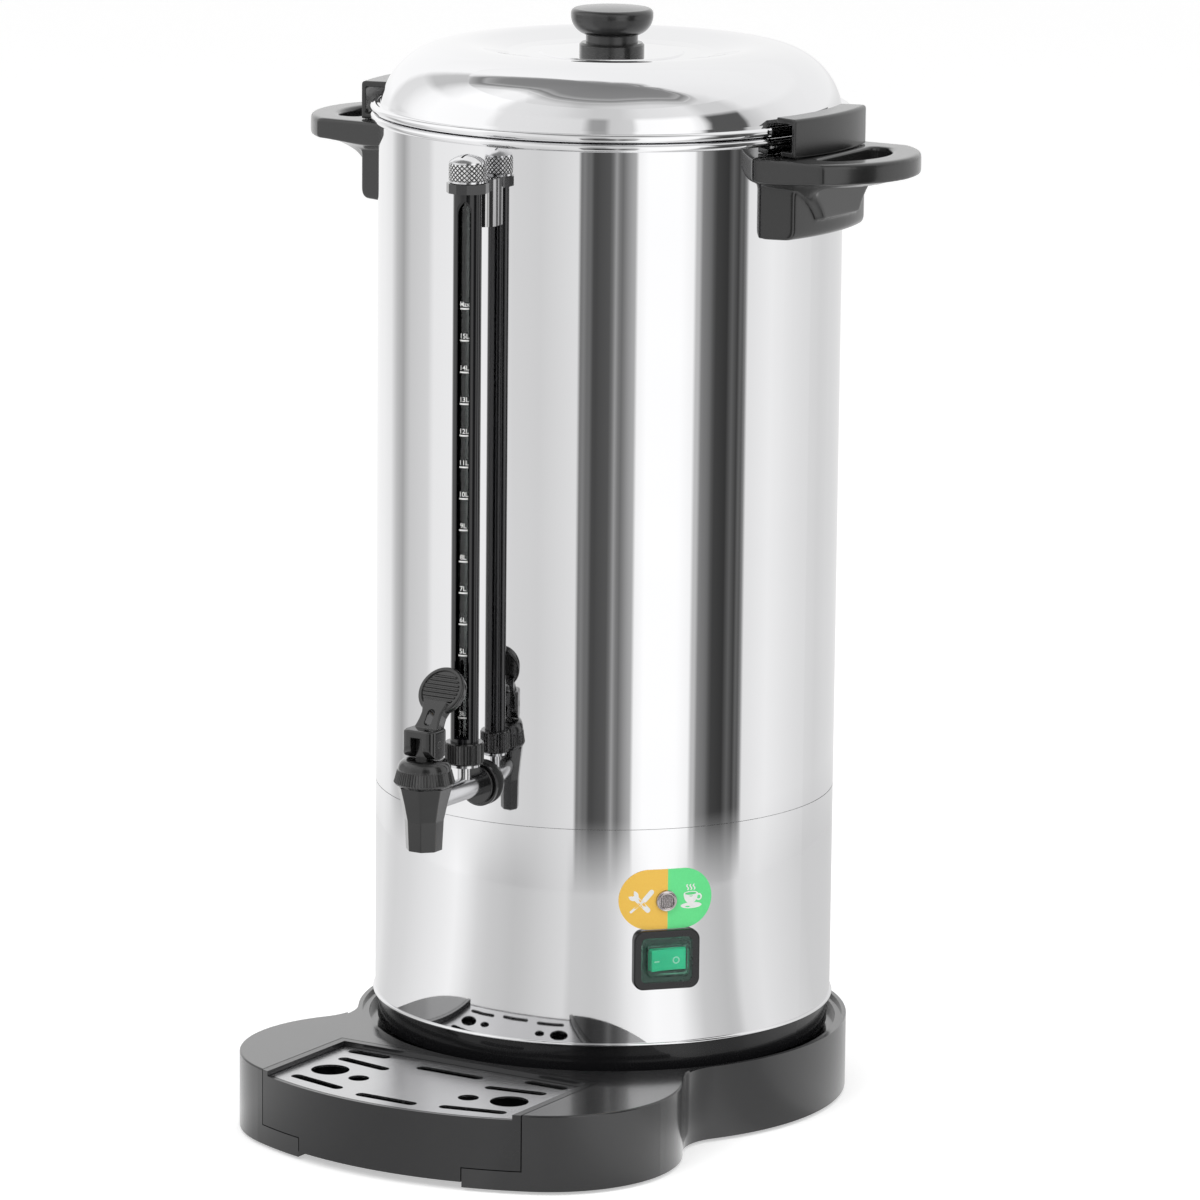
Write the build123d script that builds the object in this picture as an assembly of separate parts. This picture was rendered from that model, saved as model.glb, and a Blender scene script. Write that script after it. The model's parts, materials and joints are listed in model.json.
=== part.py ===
from build123d import *
from math import asin, atan2, cos, degrees, hypot, radians, sin, sqrt
import os

# Coffee urn with drip base. Millimetres, +Z up. The origin is on the floor, on the tank's axis,
# and the tap points along -Y. Every sheet-metal, plastic and glass piece is its own solid.

# ---- Driving sizes: tank, seam, rim
TANK_R = 134.0            # outer radius of the steel tank
TANK_H = 390.1            # from the seam to the centre of the tank's rolled rim
SHEET = 1.0               # tank wall
THIN = 0.8                # lower band, floor, lid and basket sheet
RIM_BEAD_R = 2.4          # radius of the rolled rim
WELL_R = 32.0             # pump well in the tank floor
WELL_DEPTH = 8.0
FLOOR_RISE = 2.0          # tank floor above the seam
FLOOR_SKIRT = 8.6         # how far the floor's flange reaches below the seam

# ---- Base with the recess for the urn and the bay for the tray
DECK_Z = 46.0             # top of the base's lobes
RECESS_DEPTH = 8.0        # from the deck down to the floor where the urn stands
RECESS_GAP = 3.5          # air around the urn in the recess
LEDGE_W = 4.0             # step around the recess
LEDGE_DROP = 3.2
BACK_RIM = 2.5            # round back of the base outside the step
DECK_STEP_W = 7.0         # shallow step in the deck, outside the line of the round back
DECK_STEP = 1.2
BASE_WALL = 2.5
BASE_LIFT = 2.0           # the base's skirt stands this far above the floor, on its feet
FRONT_REACH = 52.0        # foremost point of the base ahead of the spout
FRONT_ARC_R = 215.0       # radius of the curved front
NOSE_IN = 52.0            # where the curved front turns into the corners, inside the base's radius
LOBE_IN = 8.0             # the lobes are this much narrower than the round back on each side
LOBE_AHEAD = 14.0         # widest place of the lobes, ahead of the base's radius
FLANK_IN_X = 44.0         # rear end of the lobes, inside the base's radius
FLANK_IN_Y = 56.0
WAIST_R = 32.0            # hollow corner between the lobe and the round part
FOOT_R = 9.0
FOOT_PLUG_R = 4.0
FOOT_PLUG = 4.0
BOSS_R = 11.0
LOBE_FOOT_IN = 32.0       # front feet inside the lobes
LOBE_FOOT_AHEAD = 8.0
REAR_FOOT_IN_X = 52.0     # rear feet inside the base's radius
REAR_FOOT_IN_Y = 56.0
RIB = 2.2
HUB_RIB_R = 70.0

# ---- Drip tray and grate
BAY_MARGIN = 4.5          # the tray's bay is this much narrower than the curved front
BAY_BACK = 4.0            # back of the bay ahead of the step around the recess
BAY_FLOOR_Z = 4.5
TRAY_GAP = 0.6
TRAY_Z0 = 13.6            # underside of the tray's pan
TRAY_WALL = 2.5
TRAY_RIM = 5.0            # raised border beside the grate
LIP_X = 55.0              # the base's front lip ends here, and the finger notch begins
LIP_Z = 13.0
PULL_Z = 5.0              # lower edge of the tray's pull
RUNNER_OUT = 11.0         # runners under the tray, outside the finger notch
NOTCH_DEPTH = 26.0
GRATE_DROP = 3.0          # top of the grate below the deck
GRATE_SHEET = 1.2
GRATE_FLANGE = 4.0
GRATE_GAP = 0.5
GRATE_BIG_R = 11.0
GRATE_SMALL_R = 6.0
GRATE_SLOT = 7.0
BORDER_STOP = 34.0        # the tray's raised border ends this far from the front

# ---- Lid and knob
LID_BEAD_R = 2.4
LID_GAP = 0.6             # air between the tank's rim and the lid's rim
LID_SKIRT = 12.0
CREST_IN = 50.0           # highest ring of the lid, inside the tank's radius
CREST_RISE = 42.3         # highest ring above the tank's rim
CREST_EASE = 12.0         # half the width of the crest's round
LID_ROUND = 12.6          # the shoulder's arc passes this far inside the tank's radius and below the crest
DISH_W = 28.0             # from the crest in to the edge of the dish
DISH_DEPTH = 5.4
BUTTON_IN = 15.0          # raised disc under the knob, inside the edge of the dish
BUTTON_RISE = 0.7
NOTCH_DEG = 17.5          # half angle of the notches in the lid's rim
KNOB_R = 23.7
KNOB_H = 16.5
KNOB_WAIST = 2.1          # the knob's flank is hollowed by this much
KNOB_BROW_R = 20.6        # where the crown's edge begins
NECK_R = 15.0
NECK_H = 4.4
SPACER_R = 18.7
SPACER_H = 5.2
KNOB_SCREW_R = 2.5

# ---- Side handles
LOOP_R = 61.5             # nose radius of the loop, about a point on the tank wall
LOOP_BAND = 17.0
LOOP_HALF = 50.5          # half the loop's width
LOOP_HOLE_HALF = 33.0
LOOP_DROP = 8.7           # top of the loop below the tank's rim
LOOP_H = 12.0
PAD_PROUD = 17.0          # pad that carries the loop, outside the tank's radius
PAD_DEG = 15.5
PAD_ROOT_DEG = 20.0
PAD_H = 46.5
FLARE_OUT = 11.0          # foot of the flare outside the pad
FLARE_H = 24.0
CATCH_H = 22.3            # hooked block that holds the lid down, above the loop's top
CATCH_SHEET = 2.6
CATCH_ROOF = 3.3
CATCH_REACH = 2.0         # the hook's lip ends this far outside the tank's radius
CATCH_FOOT = 3.0
CATCH_GAP = 0.3
CATCH_SCREW_IN = 7.0      # catch screws inside the pad's face
CATCH_SCREW_DEG = 12.0
HANDLE_SCREW_Y = 22.0
HANDLE_SCREW_DROP = 24.0
SCREW_R = 2.5

# ---- Tap
TAP_RISE = 22.4           # axis of the tap's shank above the seam
SHANK_R = 6.5
SHANK_BORE_R = 4.5
SPOUT_REACH = 60.0        # axis of the spout in front of the tank wall
SPOUT_UP = 10.0           # spout above and below the shank's axis
SPOUT_DOWN = 27.0
SPOUT_TOP_R = 16.0
SPOUT_MID_R = 13.4
SPOUT_LOW_R = 11.3
SPOUT_TIP_R = 10.4
SPOUT_BORE_R = 6.2
CHAMBER_R = 9.3
SEAT_DROP = 6.0           # valve seat below the shank's axis
COLLAR_R = 12.9
COLLAR_L = 5.0
COLLAR_STEP = 1.6         # the collar's front ring is smaller by this much
GASKET = 2.0
BONNET_R = 17.4
BONNET_H = 15.5
BONNET_LIP = 2.4
BONNET_FLARE = 1.8        # the ribbed band is smaller at its top
BONNET_RIBS = 60
PIN_RISE = 9.0            # lever's pin above the bonnet
PIN_R = 1.5
STEM_R = 2.5
STEM_TRAVEL = 4.0
STEM_HEAD = 2.5           # top of the closed stem above the pin
POST = 7.2                # square post that carries the lever's pin
POST_UP = 4.0
LEVER_HUB_R = 8.7
LEVER_W = 20.6
LEVER_ROUND = 4.0         # upright corners of the lever's hub
LEVER_SHOULDER = 8.2      # top of the hub above the pin
LEVER_LEAN = 35.0
LEVER_REACH = 31.8
LEVER_WAIST = 6.6         # half the arm's least width
FORK_GAP = 0.3            # air between the lever's fork and what stands in it
PADDLE_R = 14.5
PADDLE_T = 5.0
GRIP_RIBS = 8
GRIP_PITCH = 2.4
RUN = 0.08                # radial clearance of turning fits
SEAT = 0.1                # clearance of screws and plugs in their holes

# ---- Level gauge
GAUGE_REACH = 18.5        # axis of the gauge in front of the tank wall
GLASS_R = 5.5
GLASS_BORE_R = 4.2
GUARD_R = 8.05
GUARD_BORE_R = 6.4
GAUGE_NECK_R = 3.8
GAUGE_BORE_R = 2.2
GAUGE_FLANGE = 1.6
NECK_H_GAUGE = 15.0       # flange under the gauge's nut above the shank's axis
SPIGOT_H = 8.0
GAUGE_NUT_R = 11.2
GAUGE_NUT_H = 12.4
GAUGE_NUT_RIBS = 40
WINDOW_W = 7.4
WINDOW_FLAT = 1.25        # depth of the flat around the window
WINDOW_DEG = 18.0         # the window faces this far from the front, towards +X
WINDOW_LIFT = 3.4         # lower end of the window above the nut
WINDOW_TIP = 4.7          # pointed end of the window below the bracket's ring
WINDOW_ARCH = 6.2
RING_DROP = 26.2          # underside of the bracket's ring below the tank's rim
RING_H = 5.5
RING_R = 11.9
RING_SIDES = 12
GAUGE_BOSS_R = 8.9        # many-sided boss on the tank wall
GAUGE_BOSS_OUT = 3.0
GAUGE_BOSS_H = 20.3       # boss below the ring
GAUGE_BOSS_SIDES = 22
CAP_R = 10.4
CAP_H = 12.0
CAP_DOME = 3.9

# ---- Controls on the lower band
CONTROL_DEG = 47.0        # from the tap towards +X
SWITCH_RISE = 50.1        # middle of the switch above the band's lower edge
BEZEL_W = 39.0
BEZEL_H = 34.6
BEZEL_PROUD = 3.2
SWITCH_BODY_W = 32.0
SWITCH_BODY_H = 28.0
SWITCH_DEPTH = 24.0
ROCKER_W = 21.0
ROCKER_H = 12.5
LAMP_RISE = 84.3
LAMP_R = 6.0
LENS_R = 4.2
STATUS_RISE = 85.2
STATUS_W = 55.0
STATUS_H = 35.0
STATUS_T = 0.45

# ---- Lower band, bottom ring and what is behind them
BAND_H = 126.4            # from the band's rolled lower edge up to the seam
BAND_RISE = 17.2          # band's lower edge above the bottom ring's underside
BAND_BEAD_R = 1.0
RING_NECK = 7.8           # bottom ring inside the band
RING_SHOULDER = 1.5       # bottom ring's shoulder below the band's lower edge
RING_IN = 16.0            # inner edge of the bottom ring inside the tank's radius
RING_FLANGE = 3.5
COVER_IN = 8.0
COVER_T = 1.0
URN_FOOT_R = 6.0
URN_FOOT_H = 3.0
INLET_RISE = 29.8
INLET_W = 27.5
INLET_H = 20.0
INLET_FLANGE_W = 50.0
INLET_FLANGE_H = 25.0
INLET_SCREW_X = 20.0
INLET_DEPTH = 22.0
SOCKET_W = 24.0
SOCKET_H = 16.4
SOCKET_DEPTH = 17.0
BREW_IN = 84.0            # middle of the brewing element's ring, inside the tank's radius
BREW_TUBE_R = 4.0
BREW_PLATE = 2.5
WARM_IN = 42.0            # middle of the keep-warm element's ring, inside the tank's radius
WARM_TUBE_R = 3.2
WARM_PLATE = 1.6
STUD_R = 3.0

# ---- Percolator
PUMP_R = 5.0
PUMP_DROP = 8.7           # top of the pump tube below the tank's rim
BELL_R = 28.0
BELL_RISE = 17.4          # top of the pump's bell above the seam
BASKET_DROP = 94.7        # collar that carries the basket below the tank's rim
REST_R = 14.0
BASKET_IN = 39.0          # basket inside the tank's radius
BASKET_H = 74.0
SLEEVE_R = 6.6
BASKET_LIP = 3.0
SPREADER_OVER = 2.0       # the spreader is larger than the basket

# ---- Heights that follow from the ones above
RECESS_Z = DECK_Z - RECESS_DEPTH
LEDGE_Z = DECK_Z - LEDGE_DROP
GRATE_Z = DECK_Z - GRATE_DROP
RING_BOTTOM_Z = RECESS_Z + URN_FOOT_H
BAND_Z0 = RING_BOTTOM_Z + BAND_RISE
RING_TOP_Z = BAND_Z0 + RING_NECK
RING_SHOULDER_Z = BAND_Z0 - RING_SHOULDER
INLET_Z = BAND_Z0 + INLET_RISE
SWITCH_Z = BAND_Z0 + SWITCH_RISE
LAMP_Z = BAND_Z0 + LAMP_RISE
STATUS_Z = BAND_Z0 + STATUS_RISE
SEAM_Z = BAND_Z0 + BAND_H
FLOOR_Z = SEAM_Z + FLOOR_RISE
UNDER_FLOOR_Z = FLOOR_Z - THIN
WELL_Z = FLOOR_Z - WELL_DEPTH
BELL_TOP_Z = SEAM_Z + BELL_RISE
TAP_Z = SEAM_Z + TAP_RISE
SPOUT_TOP_Z = TAP_Z + SPOUT_UP
SPOUT_TIP_Z = TAP_Z - SPOUT_DOWN
SEAT_Z = TAP_Z - SEAT_DROP
BONNET_TOP_Z = SPOUT_TOP_Z + BONNET_H
PIN_Z = BONNET_TOP_Z + PIN_RISE
NECK_TOP_Z = TAP_Z + NECK_H_GAUGE
SPIGOT_TOP_Z = NECK_TOP_Z + SPIGOT_H
GAUGE_NUT_TOP_Z = NECK_TOP_Z + 0.2 + GAUGE_NUT_H
TANK_TOP_Z = SEAM_Z + TANK_H
LOOP_TOP_Z = TANK_TOP_Z - LOOP_DROP
PAD_BOTTOM_Z = LOOP_TOP_Z - PAD_H
HANDLE_SCREW_Z = LOOP_TOP_Z - HANDLE_SCREW_DROP
CATCH_TOP_Z = LOOP_TOP_Z + CATCH_H
RING_Z0 = TANK_TOP_Z - RING_DROP
RING_Z1 = RING_Z0 + RING_H
GAUGE_BOSS_Z0 = RING_Z0 - GAUGE_BOSS_H
GAUGE_SCREW_Z = (GAUGE_BOSS_Z0 + RING_Z0) / 2
WINDOW_Z0 = GAUGE_NUT_TOP_Z + WINDOW_LIFT
WINDOW_TIP_Z = RING_Z0 - WINDOW_TIP
WINDOW_Z1 = WINDOW_TIP_Z - WINDOW_ARCH
CAP_Z1 = RING_Z1 + CAP_H
CAP_DOME_Z = CAP_Z1 + CAP_DOME
PUMP_TOP_Z = TANK_TOP_Z - PUMP_DROP
REST_Z = TANK_TOP_Z - BASKET_DROP
LID_BEAD_Z = TANK_TOP_Z + RIM_BEAD_R + LID_GAP + LID_BEAD_R
LID_RIM_Z = LID_BEAD_Z + LID_BEAD_R
CREST_Z = TANK_TOP_Z + CREST_RISE
DISH_Z = CREST_Z - DISH_DEPTH
BUTTON_Z = DISH_Z + BUTTON_RISE

# ---- Radii and reaches that follow from the ones above
TANK_BORE_R = TANK_R - SHEET
RIM_R = TANK_R + RIM_BEAD_R - 0.5
RECESS_R = TANK_R + RECESS_GAP
LEDGE_R = RECESS_R + LEDGE_W
BASE_R = LEDGE_R + BACK_RIM
DECK_STEP_R = BASE_R + DECK_STEP_W
SPOUT_Y = TANK_R + SPOUT_REACH
FRONT_Y = SPOUT_Y + FRONT_REACH
FRONT_ARC_Y = FRONT_Y - FRONT_ARC_R
FRONT_FACE = -TANK_R - BEZEL_PROUD
NOSE_X = BASE_R - NOSE_IN
LOBE_X = BASE_R - LOBE_IN
LOBE_Y = BASE_R + LOBE_AHEAD
LOBE_END = (BASE_R - FLANK_IN_X, FLANK_IN_Y - BASE_R)
LOBE_FOOT = (LOBE_X - LOBE_FOOT_IN, -LOBE_Y - LOBE_FOOT_AHEAD)
REAR_FOOT = (BASE_R - REAR_FOOT_IN_X, BASE_R - REAR_FOOT_IN_Y)
BAY_X = NOSE_X - BAY_MARGIN
BAY_BACK_Y = LEDGE_R + BAY_BACK
RUNNER_X = LIP_X + RUNNER_OUT
TRAY_X = BAY_X - TRAY_GAP
TRAY_BACK_Y = BAY_BACK_Y + TRAY_GAP
GRATE_X = TRAY_X - TRAY_RIM
GRATE_BACK_Y = TRAY_BACK_Y + TRAY_RIM
CREST_R = TANK_R - CREST_IN
DISH_R = CREST_R - DISH_W
BUTTON_R = DISH_R - BUTTON_IN
PAD_R = TANK_R + PAD_PROUD
CATCH_LIP_R = TANK_R + CATCH_REACH
CATCH_SCREW_X = (PAD_R - CATCH_SCREW_IN) * cos(radians(CATCH_SCREW_DEG))
CATCH_SCREW_Y = (PAD_R - CATCH_SCREW_IN) * sin(radians(CATCH_SCREW_DEG))
GAUGE_Y = TANK_R + GAUGE_REACH
RING_INNER_R = TANK_R - RING_IN
COVER_R = TANK_R - COVER_IN
BREW_R = TANK_R - BREW_IN
WARM_R = TANK_R - WARM_IN
BASKET_R = TANK_R - BASKET_IN
SPREADER_R = BASKET_R + SPREADER_OVER


def save(name, shape):
    """Write one named sub-part."""
    export_step(shape, os.path.join("parts", name + ".step"))


def group(solids):
    """Several separate solids of one node."""
    return Compound(children=list(solids))


def turned(*points):
    """Solid turned about Z from a closed outline of (radius, height) points."""
    outline = Polyline(*[(r, 0, z) for r, z in points], close=True)
    return revolve(make_face(outline), Axis.Z)


def ring(outer, inner, z0, z1):
    """Flat ring about Z."""
    return turned((inner, z0), (outer, z0), (outer, z1), (inner, z1))


def rod(radius, z0, z1, x=0, y=0):
    """Upright round bar."""
    return Pos(x, y, (z0 + z1) / 2) * Cylinder(radius, abs(z1 - z0))


def rod_y(radius, y0, y1, z, x=0):
    """Round bar along Y."""
    return Pos(x, (y0 + y1) / 2, z) * Rot(90, 0, 0) * Cylinder(radius, abs(y1 - y0))


def rod_x(radius, x0, x1, y, z):
    """Round bar along X."""
    return Pos((x0 + x1) / 2, y, z) * Rot(0, 90, 0) * Cylinder(radius, abs(x1 - x0))


def block(x0, x1, y0, y1, z0, z1):
    """Box between two corners."""
    centre = Pos((x0 + x1) / 2, (y0 + y1) / 2, (z0 + z1) / 2)
    return centre * Box(abs(x1 - x0), abs(y1 - y0), abs(z1 - z0))


def slab(sketch, z0, z1):
    """Flat outline in XY, raised from z0 to z1."""
    return Pos(0, 0, z0) * extrude(sketch, z1 - z0)


def hexagon(across, z0, z1, x=0, y=0):
    """Upright hexagonal bar."""
    return Pos(x, y, 0) * slab(RegularPolygon(across / sqrt(3), 6), z0, z1)


def panel(width, height, corner, y0, y1, z):
    """Upright rounded plate, facing the front."""
    face = Plane.XZ * RectangleRounded(width, height, corner)
    return Pos(0, y1, z) * extrude(face, y1 - y0)


def ribbed(radius, depth, count, z0, z1, shrink=0.0):
    """Grip with upright ribs; its top is smaller by shrink."""
    def star(r):
        points = []
        for i in range(2 * count):
            turn = radians(180 * i / count)
            reach = r - depth * (i % 2)
            points.append((reach * cos(turn), reach * sin(turn)))
        return make_face(Polyline(*points, close=True))
    if shrink == 0:
        return slab(star(radius), z0, z1)
    return loft([Pos(0, 0, z0) * star(radius), Pos(0, 0, z1) * star(radius - shrink)], ruled=True)


def around(shape, azimuth):
    """Turn a front-facing piece about the tank's axis."""
    return Rot(0, 0, azimuth) * shape


# ---- Base -----------------------------------------------------------------------------------

def front_disc():
    return Pos(0, -FRONT_ARC_Y) * Circle(FRONT_ARC_R)


def base_outline(inset=0.0):
    """Plan of the base, or a plan inside it: a round back, two lobes and a curved front."""
    def moved_in(edge):
        points = []
        for u in (0, 0.5, 1):
            along = edge % u
            points.append(edge @ u + Vector(-along.Y, along.X) * inset)
        return ThreePointArc(*points)

    nose_y = -FRONT_ARC_Y - sqrt(FRONT_ARC_R**2 - NOSE_X**2)
    front = ThreePointArc((-NOSE_X, nose_y), (0, -FRONT_Y), (NOSE_X, nose_y))
    corner = TangentArc(front @ 1, (LOBE_X, -LOBE_Y), tangent=front % 1)
    flank = TangentArc(corner @ 1, LOBE_END, tangent=corner % 1)
    right = [moved_in(corner), moved_in(flank)]
    left = [mirror(edge, about=Plane.YZ) for edge in right]
    back = Line(right[1] @ 1, left[1] @ 1)
    lobes = make_face([moved_in(front)] + right + left + [back])
    back_r = BASE_R - inset
    plan = lobes + Circle(back_r)
    waist = [v for v in plan.vertices() if abs(hypot(v.X, v.Y) - back_r) < 0.01 and v.Y < -1]
    return fillet(waist, WAIST_R + inset)


def bay_plan(grow=0.0):
    depth = FRONT_Y + 20
    box = Pos(0, -(BAY_BACK_Y + depth) / 2) * Rectangle(2 * BAY_X, depth - BAY_BACK_Y)
    if grow:
        box = Pos(0, -(BAY_BACK_Y + depth) / 2 + grow) * Rectangle(2 * (BAY_X + grow), depth - BAY_BACK_Y)
    return box


def foot_places():
    return [(0, 0), LOBE_FOOT, (-LOBE_FOOT[0], LOBE_FOOT[1]), REAR_FOOT, (-REAR_FOOT[0], REAR_FOOT[1])]


def base_plinth():
    body = slab(base_outline(), BASE_LIFT, DECK_Z)
    body = fillet(body.edges().filter_by(lambda e: abs(e.center().Z - DECK_Z) < 0.01), 1.0)
    # Open underside: one hollow below the recess floor, one below each lobe
    roof = RECESS_Z - BASE_WALL
    bay_walls = slab(bay_plan(BASE_WALL), 0, DECK_Z + 1)
    body -= rod(BASE_R - BASE_WALL, BASE_LIFT - 1, roof) - bay_walls
    lobes = slab(base_outline(BASE_WALL), BASE_LIFT - 1, DECK_Z - DECK_STEP - BASE_WALL)
    body -= lobes - bay_walls - rod(BASE_R, 0, DECK_Z)
    # Stiffening ribs, a ring rib and the bosses that carry the feet
    ribs = ring(HUB_RIB_R + RIB, HUB_RIB_R, BASE_LIFT + 6, roof + 1)
    reach = BASE_R - BASE_WALL + 0.5
    for i in range(4):
        ribs += Rot(0, 0, 45 * i) * block(-reach, reach, -RIB / 2, RIB / 2, BASE_LIFT + 6, roof + 1)
    body += ribs - rod(BOSS_R - 1, 0, DECK_Z) - slab(bay_plan(BASE_WALL / 2), 0, DECK_Z)
    for x, y in foot_places():
        boss_top = RECESS_Z if hypot(x, y) < RECESS_R else DECK_Z - DECK_STEP
        body += rod(BOSS_R, BASE_LIFT, boss_top - BASE_WALL / 2, x, y)
        body -= rod(FOOT_PLUG_R + SEAT, BASE_LIFT - 1, BASE_LIFT + FOOT_PLUG + SEAT, x, y)
    # Steps around the urn, down to the recess
    body -= rod(RECESS_R, RECESS_Z, DECK_Z + 1)
    body -= rod(LEDGE_R, LEDGE_Z, DECK_Z + 1)
    body -= rod(DECK_STEP_R, DECK_Z - DECK_STEP, DECK_Z + 1)
    # Bay for the tray, open in front above the lip, with a finger notch in the middle
    body -= slab(bay_plan(), BAY_FLOOR_Z, DECK_Z + 1)
    body -= block(-LIP_X, LIP_X, -FRONT_Y - 5, -FRONT_Y + NOTCH_DEPTH, BASE_LIFT - 1, BAY_FLOOR_Z + 1)
    lip = front_disc() - Pos(0, -FRONT_ARC_Y) * Circle(FRONT_ARC_R - BASE_WALL)
    for side in (-1, 1):
        strip = Pos(side * (LIP_X + BAY_X) / 2, -FRONT_Y + 15) * Rectangle(BAY_X - LIP_X, 60)
        body += slab(lip & strip, BASE_LIFT, LIP_Z)
        x = side * RUNNER_X
        body += block(x - 1.5, x + 1.5, -FRONT_Y + NOTCH_DEPTH, -BAY_BACK_Y, BAY_FLOOR_Z - 0.5, TRAY_Z0)
    return body


def base_feet():
    """Rubber feet, each with a plug in its boss."""
    feet = []
    for x, y in foot_places():
        pad = rod(FOOT_R, 0, BASE_LIFT, x, y)
        feet.append(pad + rod(FOOT_PLUG_R, BASE_LIFT / 2, BASE_LIFT + FOOT_PLUG, x, y))
    return group(feet)


# ---- Tray and grate -------------------------------------------------------------------------

def tray_plan(half_width, back_y, front_inset):
    depth = FRONT_Y + 20
    strip = Pos(0, -(back_y + depth) / 2) * Rectangle(2 * half_width, depth - back_y)
    return strip & (Pos(0, -FRONT_ARC_Y) * Circle(FRONT_ARC_R - front_inset))


def drip_tray():
    body = slab(tray_plan(TRAY_X, TRAY_BACK_Y, 0), TRAY_Z0, DECK_Z)
    # Grate seat: the border stands proud at the sides and the back, and the front is cut down to the grate
    seat = tray_plan(GRATE_X + GRATE_GAP, GRATE_BACK_Y - GRATE_GAP, TRAY_WALL)
    body -= slab(seat, GRATE_Z - GRATE_FLANGE, DECK_Z + 1)
    front = tray_plan(TRAY_X + 5, FRONT_Y - BORDER_STOP, -5)
    body -= slab(front & tray_plan(GRATE_X + GRATE_GAP, 0, -5), GRATE_Z, DECK_Z + 1)
    pan = tray_plan(GRATE_X - 1.5, GRATE_BACK_Y + 1.5, TRAY_WALL + 1.5)
    pan = fillet(pan.vertices(), 6.0)
    body -= slab(pan, TRAY_Z0 + TRAY_WALL, DECK_Z + 1)
    # Pull that hangs in the base's finger notch
    pull = tray_plan(LIP_X - TRAY_GAP, 0, 0) - tray_plan(LIP_X, 0, TRAY_WALL)
    pull &= Pos(0, -FRONT_Y + 10) * Rectangle(2 * LIP_X, 40)
    body += slab(pull, PULL_Z, TRAY_Z0 + 1)
    return body


def capsule(x0, y0, x1, y1, width):
    """Round-ended slot between two points."""
    turn = degrees(atan2(y1 - y0, x1 - x0))
    length = hypot(x1 - x0, y1 - y0)
    return Pos((x0 + x1) / 2, (y0 + y1) / 2) * Rot(0, 0, turn) * SlotOverall(length, width)


def drip_grate():
    plan = tray_plan(GRATE_X, GRATE_BACK_Y, TRAY_WALL + GRATE_GAP)
    plate = slab(plan, GRATE_Z - GRATE_FLANGE, GRATE_Z)
    inner = tray_plan(GRATE_X - GRATE_SHEET, GRATE_BACK_Y + GRATE_SHEET, TRAY_WALL + GRATE_GAP + GRATE_SHEET)
    plate -= slab(inner, GRATE_Z - GRATE_FLANGE - 1, GRATE_Z - GRATE_SHEET)
    depth = FRONT_Y - GRATE_BACK_Y

    def spot(across, back):
        """Place on the plate as shares of its half width and its depth."""
        return across * GRATE_X, back * depth - FRONT_Y

    def slot(start, end):
        return capsule(*spot(*start), *spot(*end), GRATE_SLOT)

    holes = slot((-0.244, 0.148), (0.244, 0.148)) + slot((-0.269, 0.843), (0.269, 0.843))
    for side in (-1, 1):
        holes += Pos(*spot(side * 0.739, 0.506)) * Circle(GRATE_BIG_R)
        holes += Pos(*spot(side * 0.452, 0.443)) * Circle(GRATE_SMALL_R)
        holes += slot((side * 0.403, 0.190), (side * 0.879, 0.285))
        holes += slot((side * 0.403, 0.695), (side * 0.855, 0.759))
        holes += slot((side * 0.562, 0.927), (side * 0.904, 0.927))
    return plate - slab(holes, GRATE_Z - GRATE_FLANGE, GRATE_Z + 1)


# ---- Tank -----------------------------------------------------------------------------------

def tank_shell():
    wall = ring(TANK_R, TANK_BORE_R, SEAM_Z, TANK_TOP_Z)
    bead = revolve(Pos(RIM_R, 0, TANK_TOP_Z) * Rot(90, 0, 0) * Circle(RIM_BEAD_R), Axis.Z)
    shell = wall + bead
    shell -= rod_y(SHANK_R + SEAT, -TANK_R - 5, -TANK_R + 5, TAP_Z)
    shell -= rod_y(SCREW_R - 0.4 + SEAT, -TANK_R - 5, -TANK_R + 5, GAUGE_SCREW_Z)
    for side in (-1, 1):
        for y in (-HANDLE_SCREW_Y, HANDLE_SCREW_Y):
            shell -= rod_x(SCREW_R + SEAT, side * (TANK_R - 8), side * (TANK_R + 5), y, HANDLE_SCREW_Z)
    return shell


def tank_floor():
    """Floor with the pump well and a flange that backs the seam."""
    r = TANK_BORE_R - SEAT
    low = SEAM_Z - FLOOR_SKIRT
    well = WELL_Z - THIN
    return turned((0, well), (WELL_R + THIN, well), (WELL_R + THIN, UNDER_FLOOR_Z), (r - THIN, UNDER_FLOOR_Z),
                  (r - THIN, low), (r, low), (r, FLOOR_Z), (WELL_R, FLOOR_Z), (WELL_R, WELL_Z), (0, WELL_Z))


def lower_band():
    band_bore = TANK_R - THIN
    band = ring(TANK_R, band_bore, BAND_Z0, SEAM_Z - 0.3)
    bead = Pos(band_bore + BAND_BEAD_R, 0, BAND_Z0) * Rot(90, 0, 0) * Circle(BAND_BEAD_R)
    band += revolve(bead, Axis.Z)
    switch = block(-SWITCH_BODY_W / 2 - SEAT, SWITCH_BODY_W / 2 + SEAT, -TANK_R - 5, -TANK_R + 12,
                   SWITCH_Z - SWITCH_BODY_H / 2 - SEAT, SWITCH_Z + SWITCH_BODY_H / 2 + SEAT)
    lamp = rod_y(LENS_R + SEAT, -TANK_R - 5, -TANK_R + 5, LAMP_Z)
    band -= around(switch + lamp, CONTROL_DEG)
    inlet = block(-INLET_W / 2 - SEAT, INLET_W / 2 + SEAT, -TANK_R - 5, -TANK_R + 12,
                  INLET_Z - INLET_H / 2 - SEAT, INLET_Z + INLET_H / 2 + SEAT)
    band -= around(inlet, 180)
    for x in (-INLET_SCREW_X, INLET_SCREW_X):
        band -= around(rod_y(1.6, -TANK_R - 5, -TANK_R + 8, INLET_Z, x), 180)
    return band


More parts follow.
